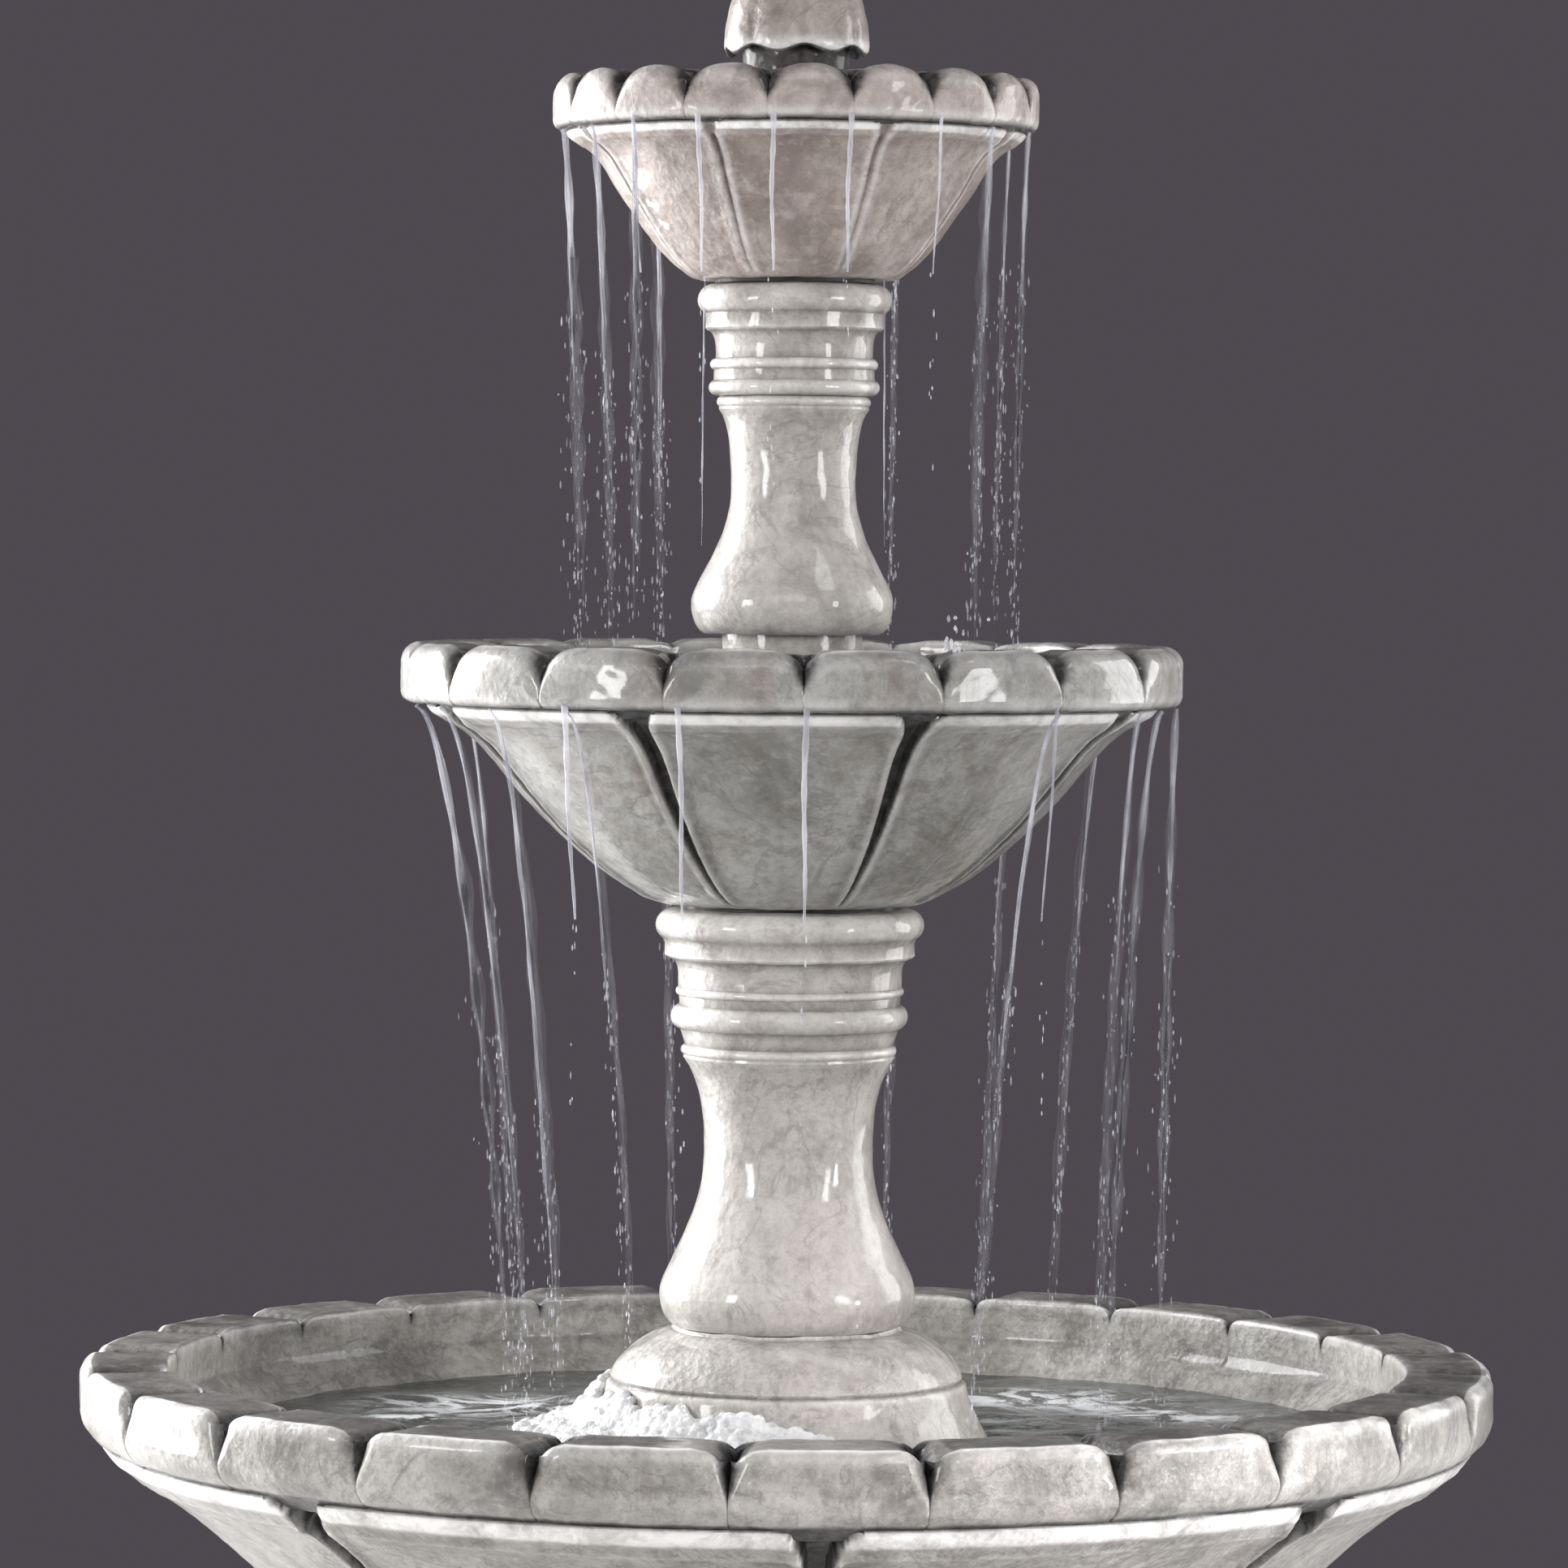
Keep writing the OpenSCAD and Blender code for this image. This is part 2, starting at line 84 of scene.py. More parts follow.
def refine(points, step):
    """The same outline with no segment longer than step, a length or a function of radius and height."""
    out = [points[0]]
    for (r0, z0), (r1, z1) in zip(points, points[1:]):
        length = hypot(r1 - r0, z1 - z0)
        if length < 1e-7:
            continue
        limit = step((r0 + r1) / 2, (z0 + z1) / 2) if callable(step) else step
        parts = max(1, ceil(length / limit))
        out += [(r0 + (r1 - r0) * k / parts, z0 + (z1 - z0) * k / parts) for k in range(1, parts + 1)]
    return out


def smoothstep(x, low, high):
    """0 below low, 1 above high and smooth between them."""
    t = np.clip((x - low) / (high - low), 0, 1)
    return t * t * (3 - 2 * t)


# ---- meshes

def new_object(name, vertices, faces, material, sharp=40):
    mesh = bpy.data.meshes.new(name)
    mesh.from_pydata(vertices, [], faces)
    mesh.validate()
    mesh.polygons.foreach_set("use_smooth", [True] * len(mesh.polygons))
    mesh.set_sharp_from_angle(angle=radians(sharp))
    mesh.materials.append(material)
    obj = bpy.data.objects.new(name, mesh)
    bpy.context.scene.collection.objects.link(obj)
    return obj


def shade(obj, kind, values):
    """Stores a value for each point, which a material reads by its name."""
    obj.data.attributes.new(kind, "FLOAT", "POINT").data.foreach_set("value", values)


def ring_faces(rows, columns):
    """Quads of a grid of rows by columns that closes both ways."""
    faces = []
    for i in range(rows):
        a = i * columns
        b = ((i + 1) % rows) * columns
        for j in range(columns):
            k = (j + 1) % columns
            faces.append((a + j, a + k, b + k, b + j))
    return faces


def hollows(profile, length, normal_r, normal_z):
    """How far each point of an outline lies in a hollow: about 1 in a sharp corner, below 0 on an edge."""
    reach = 5 * MM
    around = 0
    for side in (-reach, reach):
        for axis, normal in ((0, normal_r), (1, normal_z)):
            beside = np.interp(length + side, length, profile[:, axis])
            around = around + 0.5 * (beside - profile[:, axis]) * normal
    return around / (0.5 * reach)


def turned(name, outline, material, angles, relief, sharp=40):
    """A piece turned about Z from a closed outline that runs with the solid on its left.

    angles is a count of even steps, or the angles themselves. relief gives how far each point moves along
    the outline's normal, how dark it is painted (painted shade in clefts, gaps, seams and under things, with
    real veins) and how pale (painted highlights on edges, beads and tops, with a pale tint on some rims)."""
    if isinstance(angles, int):
        angles = np.arange(angles) * (2 * pi / angles)
    profile = np.array(outline[:-1], float)
    along = np.roll(profile, -1, axis=0) - np.roll(profile, 1, axis=0)
    along /= np.maximum(np.hypot(along[:, 0], along[:, 1]), 1e-9)[:, None]
    normal_r, normal_z = along[:, 1], -along[:, 0]
    theta = angles[None, :]
    length = np.concatenate([[0], np.cumsum(np.hypot(*np.diff(profile, axis=0).T))])
    hollow = hollows(profile, length, normal_r, normal_z)[:, None]
    shift, dirt, pale = relief(theta, profile[:, :1], profile[:, 1:], normal_z[:, None], length[:, None])
    r = profile[:, :1] + shift * normal_r[:, None]
    z = profile[:, 1:] + shift * normal_z[:, None]
    points = np.stack([r * np.cos(theta), r * np.sin(theta), z], axis=-1).reshape(-1, 3)
    obj = new_object(name, points.tolist(), ring_faces(len(profile), len(angles)), material, sharp)
    # Painted shade is added in sharp hollows and painted highlight on sharp edges; the first value also holds
    # real veins, the second a pale tint.
    for kind, painted_light_and_marks, corner in (("dirt", dirt, hollow), ("pale", pale, -hollow)):
        value = np.clip(painted_light_and_marks + 0.5 * np.clip(corner, 0, 1), 0, 1) + np.zeros_like(r)
        shade(obj, kind, value.reshape(-1).astype(np.float32))
    return obj


def sweep_tube(points, radii, sides=8):
    """Vertices and faces of a round tube along points, closed at both ends."""
    vertices, faces = [], []
    for i, (p, radius) in enumerate(zip(points, radii)):
        ahead = Vector(points[min(i + 1, len(points) - 1)]) - Vector(points[max(i - 1, 0)])
        across = ahead.orthogonal().normalized()
        up = ahead.normalized().cross(across)
        for k in range(sides):
            turn = 2 * pi * k / sides
            vertices.append(tuple(Vector(p) + radius * (cos(turn) * across + sin(turn) * up)))
    for i in range(len(points) - 1):
        for k in range(sides):
            n = (k + 1) % sides
            faces.append((i * sides + k, i * sides + n, (i + 1) * sides + n, (i + 1) * sides + k))
    faces.append(tuple(range(sides))[::-1])
    faces.append(tuple((len(points) - 1) * sides + k for k in range(sides)))
    return vertices, faces


class Parts:
    """Collects small closed shapes into one mesh."""

    def __init__(self):
        self.vertices, self.faces = [], []

    def add(self, vertices, faces):
        base = len(self.vertices)
        self.vertices += vertices
        self.faces += [tuple(base + i for i in f) for f in faces]

    def drop(self, centre, width, height):
        """A small long drop of water."""
        rings = ((0.0, -1.0), (0.8, -0.55), (1.0, 0.0), (0.6, 0.6), (0.0, 1.0))
        path = [(centre[0], centre[1], centre[2] + height * z) for _, z in rings]
        self.add(*sweep_tube(path, [max(width * r, width * 0.08) for r, _ in rings], 6))

    def ball(self, centre, radius):
        """A rough ball."""
        slopes = [radians(a) for a in range(-80, 81, 20)]
        path = [(centre[0], centre[1], centre[2] + radius * sin(a)) for a in slopes]
        self.add(*sweep_tube(path, [radius * cos(a) for a in slopes], 12))

    def object(self, name, material):
        return new_object(name, self.vertices, self.faces, material, sharp=80)


# ---- materials

class Shader:
    """A Principled material with short calls for the nodes that feed it."""

    def __init__(self, name, roughness=0.5, **sockets):
        self.material = bpy.data.materials.new(name)
        self.material.use_nodes = True
        self.tree = self.material.node_tree
        self.main = self.tree.nodes["Principled BSDF"]
        self.main.inputs["Roughness"].default_value = roughness
        for socket, value in sockets.items():
            self.main.inputs[socket.replace("_", " ")].default_value = value
        self.place = self.node("ShaderNodeTexCoord").outputs["Object"]

    def node(self, kind, **settings):
        made = self.tree.nodes.new(kind)
        for key, value in settings.items():
            setattr(made, key, value)
        return made

    def link(self, output, socket):
        self.tree.links.new(output, socket)

    def feed(self, socket, value):
        """Sets a socket to a number or a colour, or links an output to it."""
        if isinstance(value, (int, float)):
            socket.default_value = value
        elif isinstance(value, tuple):
            socket.default_value = (*value, 1)
        else:
            self.link(value, socket)

    def texture(self, kind, vector, **sockets):
        made = self.node(kind)
        self.link(vector or self.place, made.inputs["Vector"])
        for socket, value in sockets.items():
            made.inputs[socket].default_value = value
        return made

    def scaled(self, x, y, z):
        return self.texture("ShaderNodeMapping", None, Scale=(x, y, z)).outputs["Vector"]

    def noise(self, scale, detail=4.0, rough=0.55, vector=None, distortion=0.0):
        made = self.texture("ShaderNodeTexNoise", vector, Scale=scale, Detail=detail, Roughness=rough,
                            Distortion=distortion)
        return made.outputs["Fac"]

    def pits(self, scale):
        return self.texture("ShaderNodeTexVoronoi", None, Scale=scale).outputs["Distance"]

    def attribute(self, name):
        return self.node("ShaderNodeAttribute", attribute_name=name).outputs["Fac"]

    def ramp(self, value, *stops):
        made = self.node("ShaderNodeValToRGB")
        band = made.color_ramp
        while len(band.elements) < len(stops):
            band.elements.new(0.5)
        for element, (position, colour) in zip(band.elements, stops):
            element.position = position
            element.color = (*colour, 1) if isinstance(colour, tuple) else (colour, colour, colour, 1)
        self.link(value, made.inputs["Fac"])
        return made.outputs["Color"]

    def mix(self, factor, a, b):
        made = self.node("ShaderNodeMix", data_type="RGBA")
        for socket, value in (("Factor", factor), ("A", a), ("B", b)):
            self.feed(made.inputs[socket], value)
        return made.outputs["Result"]

    def maths(self, operation, a, b=0.0):
        made = self.node("ShaderNodeMath", operation=operation)
        self.feed(made.inputs[0], a)
        self.feed(made.inputs[1], b)
        return made.outputs[0]

    def bump(self, height, strength, distance):
        made = self.node("ShaderNodeBump")
        made.inputs["Strength"].default_value = strength
        made.inputs["Distance"].default_value = distance
        self.link(height, made.inputs["Height"])
        if self.main.inputs["Normal"].is_linked:
            self.link(self.main.inputs["Normal"].links[0].from_socket, made.inputs["Normal"])
        self.link(made.outputs["Normal"], self.main.inputs["Normal"])

    def colour(self, output):
        self.link(output, self.main.inputs["Base Color"])

    def roughness(self, output):
        self.link(output, self.main.inputs["Roughness"])


def stone(name, pale, middle, dark, stain, wet, streaks, tint_scale=5.0, coarse=1.0):
    """Cast stone with cloudy mottling, veins, run-down stains, fine sand grain, a wet, glossy skin, and
    painted shade and highlights from the mesh.
    """
    s = Shader(name, Coat_Weight=wet, Coat_Roughness=0.08, Coat_IOR=1.36)
    clouds = s.noise(tint_scale, 6, 0.6, distortion=0.6)
    blotches = s.noise(tint_scale * 4.3, 8, 0.68, distortion=0.4)
    crumbs = s.noise(95, 5, 0.7)
    grain = s.noise(420, 3, 0.7)
    runs = s.noise(1.0, 5, 0.6, s.scaled(26, 26, 2.2))
    veins = s.maths("ABSOLUTE", s.maths("SUBTRACT", s.noise(tint_scale * 1.5, 5, 0.6, distortion=1.3), 0.5))
    base = s.ramp(clouds, (0.33, dark), (0.48, middle), (0.66, pale))
    for texture, low, high, colour in (
        (blotches, (0.48, 0.0), (0.66, 0.70), pale),
        (blotches, (0.34, 0.55), (0.46, 0.0), dark),
        (runs, (0.48, 0.0), (0.66, streaks), stain),
        (veins, (0.0, 0.50), (0.022, 0.0), dark),
        (crumbs, (0.38, 0.34), (0.50, 0.0), dark),
        (crumbs, (0.54, 0.0), (0.66, 0.40), pale),
        (grain, (0.38, 0.22), (0.56, 0.0), dark),
    ):
        base = s.mix(s.ramp(texture, low, high), base, colour)
    # Painted highlights, with some real pale tint, mixed towards near white where the mesh's pale attribute
    # says.
    highlight_and_pale_tint = s.maths("MULTIPLY", s.attribute("pale"), s.ramp(blotches, (0.34, 0.35), (0.55, 1.0)))
    base = s.mix(highlight_and_pale_tint, base, (0.97, 0.96, 0.94))
    # Painted shade, with real veins, mixed towards near black where the mesh's other attribute says.
    shade_and_marks_mix = s.maths("MULTIPLY", s.attribute("dirt"), s.ramp(crumbs, (0.35, 1.0), (0.75, 0.72)))
    base = s.mix(shade_and_marks_mix, base, (0.012, 0.011, 0.011))
    s.colour(base)
    s.roughness(s.ramp(blotches, (0.32, 0.36), (0.66, 0.66)))
    s.bump(s.pits(150), 0.12 * coarse, 0.004)
    s.bump(grain, 0.25 * coarse, 0.0012)
    s.bump(s.noise(34, 5, 0.6), 0.34 * coarse, 0.004)
    return s.material


def pool_water(name):
    """A pool's surface: dark wet gloss, ripples and drifting white foam."""
    deep, shallow, white = (0.035, 0.040, 0.038), (0.125, 0.132, 0.125), (0.80, 0.82, 0.84)
    s = Shader(name, 0.08, IOR=1.33, Specular_IOR_Level=0.45)
    drift = s.noise(9, 6, 0.62, distortion=1.4)
    base = s.ramp(drift, (0.35, deep), (0.65, shallow))
    lace = s.ramp(s.noise(15, 9, 0.70, distortion=2.0), (0.45, 0.0), (0.58, 1.0))
    foam = s.maths("MULTIPLY", lace, s.attribute("foam"))
    s.colour(s.mix(foam, base, white))
    s.roughness(s.ramp(foam, (0.0, 0.07), (1.0, 0.6)))
    s.bump(s.noise(52, 4, 0.55, distortion=1.0), 0.42, 0.008)
    return s.material


def falling_water(name, alpha):
    """Thin falling water, which looks whitish against a dark ground."""
    s = Shader(name, 0.22, IOR=1.33, Alpha=alpha)
    drawn_out = s.noise(60, 3, 0.6, s.scaled(1, 1, 0.3))
    s.colour(s.ramp(drawn_out, (0.35, (0.50, 0.50, 0.57)), (0.62, (0.88, 0.88, 0.95))))
    return s.material


def foam_material():
    """White foam of fine bubbles, greyer in patches."""
    s = Shader("foam", 0.6, Subsurface_Weight=0.35, Coat_Weight=0.2, Coat_Roughness=0.3)
    s.main.inputs["Subsurface Radius"].default_value = (0.01, 0.01, 0.01)
    s.colour(s.ramp(s.noise(60, 6, 0.7), (0.34, (0.50, 0.51, 0.52)), (0.60, (0.88, 0.88, 0.88))))
    s.bump(s.pits(420), 0.5, 0.0015)
    return s.material


def rubber():
    s = Shader("wet_rubber", 0.6)
    s.colour(s.ramp(s.noise(60, 4), (0.35, (0.015, 0.015, 0.015)), (0.70, (0.045, 0.043, 0.040))))
    s.roughness(s.ramp(s.noise(90, 3), (0.3, 0.45), (0.7, 0.75)))
    s.bump(s.noise(700, 2), 0.15, 0.0005)
    return s.material


def plastic(name, low, high, rough=(0.28, 0.5), grain=600):
    s = Shader(name, 0.4, Coat_Weight=0.15)
    s.colour(s.ramp(s.noise(35, 5), (0.35, low), (0.68, high)))
    s.roughness(s.ramp(s.noise(70, 4), (0.3, rough[0]), (0.7, rough[1])))
    s.bump(s.noise(grain, 2), 0.12, 0.0004)
    return s.material


def metal(name, low, high):
    s = Shader(name, 0.3, Metallic=1.0)
    s.colour(s.ramp(s.noise(50, 6, 0.6), (0.32, low), (0.62, high)))
    s.roughness(s.ramp(s.noise(130, 4), (0.3, 0.2), (0.7, 0.42)))
    s.bump(s.noise(900, 2, vector=s.scaled(1, 1, 8)), 0.12, 0.0003)
    return s.material


def vinyl():
    s = Shader("clear_vinyl", 0.12, Coat_Weight=0.4, IOR=1.5, Transmission_Weight=0.75)
    s.colour(s.ramp(s.noise(22, 3), (0.35, (0.70, 0.76, 0.76)), (0.65, (0.84, 0.88, 0.88))))
    s.bump(s.noise(80, 2), 0.08, 0.0008)
    return s.material


GREY_STONE = stone("grey_cast_stone", pale=(0.52, 0.505, 0.475), middle=(0.34, 0.327, 0.305),
                   dark=(0.13, 0.122, 0.112), stain=(0.18, 0.162, 0.14),
                   wet=0.5, streaks=0.5, tint_scale=6.0, coarse=1.4)
COVER_STONE = stone("rough_cover_stone", pale=(0.62, 0.59, 0.55), middle=(0.44, 0.415, 0.38),
                    dark=(0.20, 0.18, 0.155), stain=(0.19, 0.155, 0.125),
                    wet=0.7, streaks=0.45, tint_scale=9.0, coarse=2.2)
COLUMN_STONE = stone("pale_column_stone", pale=(0.64, 0.61, 0.57), middle=(0.47, 0.44, 0.41),
                     dark=(0.26, 0.237, 0.215), stain=(0.33, 0.295, 0.26),
                     wet=0.75, streaks=0.35, tint_scale=6.0)
GREEN_STONE = stone("grey_green_stone", pale=(0.46, 0.46, 0.44), middle=(0.33, 0.33, 0.312),
                    dark=(0.165, 0.158, 0.145), stain=(0.24, 0.19, 0.16),
                    wet=0.75, streaks=0.55, tint_scale=4.0)
PINK_STONE = stone("pink_beige_stone", pale=(0.56, 0.495, 0.455), middle=(0.40, 0.342, 0.31),
                   dark=(0.23, 0.19, 0.17), stain=(0.28, 0.21, 0.18),
                   wet=0.42, streaks=0.5, tint_scale=7.0, coarse=1.6)
BASE_STONE = stone("pedestal_stone", pale=(0.52, 0.50, 0.465), middle=(0.37, 0.352, 0.325),
                   dark=(0.20, 0.19, 0.175), stain=(0.20, 0.19, 0.17), wet=0.3, streaks=0.35)
POOL = pool_water("pool_water")
FALL = falling_water("falling_water", 0.42)
RIBBON = falling_water("ribbon_water", 0.20)
VEIL = falling_water("veil_water", 0.022)
TRICKLE = falling_water("trickling_water", 0.40)
FOAM = foam_material()


# ---- bowls

class Bowl:
    """One scalloped, panelled bowl. Its outer radius and heights come from its CAD node's box.

    Lengths are given in millimetres, and phases in degrees from the front.
    rim: width, height, rounding of the outer edge at the top and at the bottom.
    band: how far the sloping band stands back at its top and at its bottom, and its height.
    foot_r, bend, end, lean: the underside, with heights above the foot, as in the CAD source.
    floor: radius and height of the flat floor, and the bore's radius.
    top_darkening, rim_pale: how much darker the rim's flat top is drawn, and how pale the rest of the rim is."""

    panels = 8

    def __init__(self, node, rim, band, foot_r, bend, end, lean, floor, lobes, lobe_phase, panel_phase,
                 top_darkening, rim_pale):
        low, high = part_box(node)
        self.node = node
        self.outer, self.top, self.bottom = high[0], high[2], low[2]
        self.rim_w, self.rim_h, self.high_round, self.low_round = (size * MM for size in rim)
        self.inner = self.outer - self.rim_w
        self.rim_low = self.top - self.rim_h
        self.band_high_r = self.outer - band[0] * MM
        self.band_low_r = self.outer - band[1] * MM
        self.band_h = band[2] * MM
        self.foot_r = foot_r * MM
        self.bend = (bend[0] * MM, self.bottom + bend[1] * MM)
        self.end = (self.band_low_r - end[0] * MM, self.bottom + end[1] * MM)
        self.lean = radians(lean)
        self.floor_r, self.floor_z, self.bore_r = floor[0] * MM, self.bottom + floor[1] * MM, floor[2] * MM
        self.lobes = lobes
        self.lobe_phase = FRONT + radians(lobe_phase)
        self.panel_phase = FRONT + radians(panel_phase)
        self.top_darkening = top_darkening
        self.rim_pale = rim_pale

    def under(self):
        """The underside from the foot out to the band, which it meets at a slope of 26 degrees."""
        foot, bend, end = (self.foot_r, self.bottom), self.bend, self.end
        low = 0.3 * dist(foot, bend)
        high = 0.35 * dist(bend, end)
        way = (cos(self.lean), sin(self.lean))
        flare = (cos(radians(26)), sin(radians(26)))
        near_bend = (bend[0] - 0.6 * low * way[0], bend[1] - 0.6 * low * way[1])
        past_bend = (bend[0] + high * way[0], bend[1] + high * way[1])
        near_end = (end[0] - high * flare[0], end[1] - high * flare[1])
        points = [foot] + curve(foot, (foot[0] + low, foot[1] + 0.05 * low), near_bend, bend, 30)
        return points + curve(bend, past_bend, near_end, end, 20)

    def outline(self):
        """The whole section: out along the underside, around the rim and back along the inside."""
        low_corner = (self.outer - self.low_round, self.rim_low + self.low_round)
        high_corner = (self.outer - self.high_round, self.top - self.high_round)
        lip = min(0.5 * self.high_round, 6 * MM)
        wall = (self.inner, self.top - 0.62 * self.rim_h)
        reach = (self.inner - self.floor_r, wall[1] - self.floor_z)
        band_low = self.rim_low - self.band_h
        points = self.under()
        points += [(self.band_low_r, band_low), (self.band_high_r, self.rim_low - 2.5 * MM)]
        points += [(self.band_high_r - 1.5 * MM, self.rim_low)]
        points += arc(low_corner, self.low_round, -66, 0, 12)
        points += arc(high_corner, self.high_round, 0, 90, 12)
        points += arc((self.inner + lip, self.top - lip), lip, 90, 180, 5)
        points += [wall]
        points += curve(wall, (self.floor_r + 0.8 * reach[0], self.floor_z + 0.72 * reach[1]),
                        (self.floor_r + 0.3 * reach[0], self.floor_z), (self.floor_r, self.floor_z), 24)
        return points + [(self.bore_r, self.floor_z), (self.bore_r, self.bottom), (self.foot_r, self.bottom)]

    def angles(self):
        """Even steps, with extra ones beside each groove and each panel edge."""
        steps = list(np.arange(300) * (2 * pi / 300))
        groove = (0.0, 0.8, 2, 4, 7, 11, 16)
        edge = (0.0, 2, 3.5, 5, 6.5, 8, 9.5, 11.5, 14, 18, 24)
        lines = ((self.lobes, self.lobe_phase, groove), (self.panels, self.panel_phase, edge))
        for count, phase, beside in lines:
            for i in range(count):
                line = phase + 2 * pi * i / count
                steps += [line + side * mm * MM / self.outer for mm in beside for side in (-1, 1)]
        ordered = sorted(a % (2 * pi) for a in steps)
        kept = [ordered[0]]
        for a in ordered[1:]:
            if a - kept[-1] > 0.75 * MM / self.outer:
                kept.append(a)
        return np.array(kept)


def from_line(theta, phase, count):
    """The angle from the nearest of count even lines."""
    pitch = 2 * pi / count
    return np.abs((theta - phase + pitch / 2) % pitch - pitch / 2)


def lumps(theta, r, z, scale, amount):
    """Gentle hand-cast unevenness, from a few waves at unlike angles."""
    x, y = r * np.cos(theta), r * np.sin(theta)
    wave = np.sin(scale * (1.0 * x + 0.4 * y + 0.7 * z)) * np.sin(scale * (0.7 * y - 0.3 * x + 0.5 * z) + 1.7)
    fine = np.sin(2.3 * scale * (0.8 * x - 0.6 * y + 0.5 * z) + 0.6)
    return amount * (wave + 0.6 * (fine * np.sin(3.1 * scale * (0.5 * x + 0.9 * y - 0.8 * z))))


def ridge(distance, centre, width):
    """1 at the centre, falling softly to 0 on both sides."""
    return np.exp(-(((distance - centre) / width) ** 2))


def rim_relief(bowl, soft, depth, theta, r, z):
    """Pillow lobes: the clefts between them are V shaped, wide and deep at the top and closing downwards.
    Shade is painted into the clefts, the flat top is drawn darker and a highlight is painted along the outer
    top edge.
    """
    on_rim = (z > bowl.rim_low - 0.5 * MM) & (r > bowl.inner + 0.2 * MM)
    rise = np.clip((z - bowl.rim_low) / bowl.rim_h, 0, 1)
    open_up = smoothstep(rise, 0.22, 0.95)
    inner_side = smoothstep(r, bowl.inner, bowl.inner + 0.10 * bowl.rim_w)
    across = from_line(theta, bowl.lobe_phase, bowl.lobes) * np.maximum(r, bowl.inner)
    width = soft * (0.10 + 0.90 * open_up)
    shoulder = np.clip(1 - across / width, 0, 1)
    pillow = 1 - np.sqrt(np.maximum(1 - shoulder ** 2, 0))
    weight = (0.03 + 0.97 * open_up) * inner_side * on_rim
    shift = -depth * weight * pillow
    cleft = np.exp(-((across / ((1.0 + 0.26 * soft / MM * open_up) * MM)) ** 2))
    # Painted shade: dark in the clefts, and a little darker on the shoulders beside them near the top.
    dirt = 1.7 * on_rim * inner_side * cleft * (0.07 + 0.93 * smoothstep(rise, 0.30, 0.60))
    dirt = dirt + 0.30 * on_rim * inner_side * open_up * shoulder ** 2
    # The rim's flat top is drawn darker by the bowl's own amount.
    flat_top = (z > bowl.top - 1.5 * MM) & (r < bowl.outer - 0.9 * bowl.high_round) & (r > bowl.inner)
    dirt = dirt + bowl.top_darkening * flat_top
    # Painted highlight along the outer top edge of the lobes, away from the clefts.
    edge_highlight = ridge(r, bowl.outer - 0.75 * bowl.high_round, 3 * MM) * (rise > 0.8)
    pale = 0.8 * on_rim * edge_highlight * (1 - shoulder) ** 2
    pale = pale + bowl.rim_pale * on_rim * (1 - flat_top)
    return shift, dirt, pale


def panel_relief(bowl, gap, gap_depth, gap_dirt, bead, theta, r, length, seam):
    """Panels that reach up to the seam under the lobes.

    Each has a broad top border painted pale as a highlight, thin side borders with rounded corners and
    painted highlights on their beads, and a faint Y of veins. Each is drawn a little darker just inside its
    side gaps, more so lower down.
    The gaps between them are painted dark as shade and close towards the foot."""
    below = (length <= seam) & (r > bowl.foot_r - 1 * MM)
    narrowing = 0.08 + 0.92 * smoothstep(r, 1.1 * bowl.foot_r, 0.95 * bowl.outer)
    border = 6 * MM
    from_gap = from_line(theta, bowl.panel_phase, bowl.panels)
    side = from_gap * r - 0.5 * gap * narrowing
    top = (seam - length) * border / (bowl.band_h + 2 * MM)
    corner = 0.025 * bowl.outer + 8 * MM
    rounded = corner - np.hypot(np.clip(corner - side, 0, None), np.clip(corner - top, 0, None))
    inside = np.where((side < corner) & (top < corner), rounded, np.minimum(side, top))
    fade = smoothstep(length, 0.03 * bowl.outer, 0.10 * bowl.outer)
    under_seam = smoothstep(side, 0.5 * corner, corner) * (top < corner)
    ditch = (1 - smoothstep(inside, -2.4 * MM, 1.0 * MM)) * (1 - under_seam) * (0.35 + 0.65 * narrowing)
    rolled = ridge(inside, 3.6 * MM, 2.4 * MM)
    field = smoothstep(inside, border, 2 * border)
    middle = np.abs(pi / bowl.panels - from_gap) * r
    down = seam - length
    arms = np.abs(middle - 0.8 * np.clip(0.42 * seam - down, 0, None))
    vein = np.exp(-((arms / (1.8 * MM)) ** 2)) * (down > 0.10 * seam) * (down < 0.85 * seam)
    shift = below * fade * (bead * rolled - gap_depth * ditch - 1.0 * MM * field - 0.25 * MM * vein)
    # Painted shade in the gaps between the panels.
    dark = smoothstep(-inside, -1.6 * MM, 1.0 * MM) * (1 - under_seam) * (0.45 + 0.55 * narrowing)
    # A little darker just inside each side gap, more so lower down.
    darker_near_gap = 0.30 * ridge(inside, 1.4 * border, border) * (0.3 + 0.7 * smoothstep(down, 0, 0.5 * seam))
    dirt = gap_dirt * below * fade * (dark + darker_near_gap * (side < 3 * border) + 0.12 * vein)
    # Painted highlight on the top border and on the rolled beads.
    strip = (1 - smoothstep(top, 0.75 * border, 1.1 * border)) * smoothstep(side, 0, 4 * MM)
    pale = below * fade * np.maximum(strip, 0.42 * rolled)
    return shift, dirt, pale


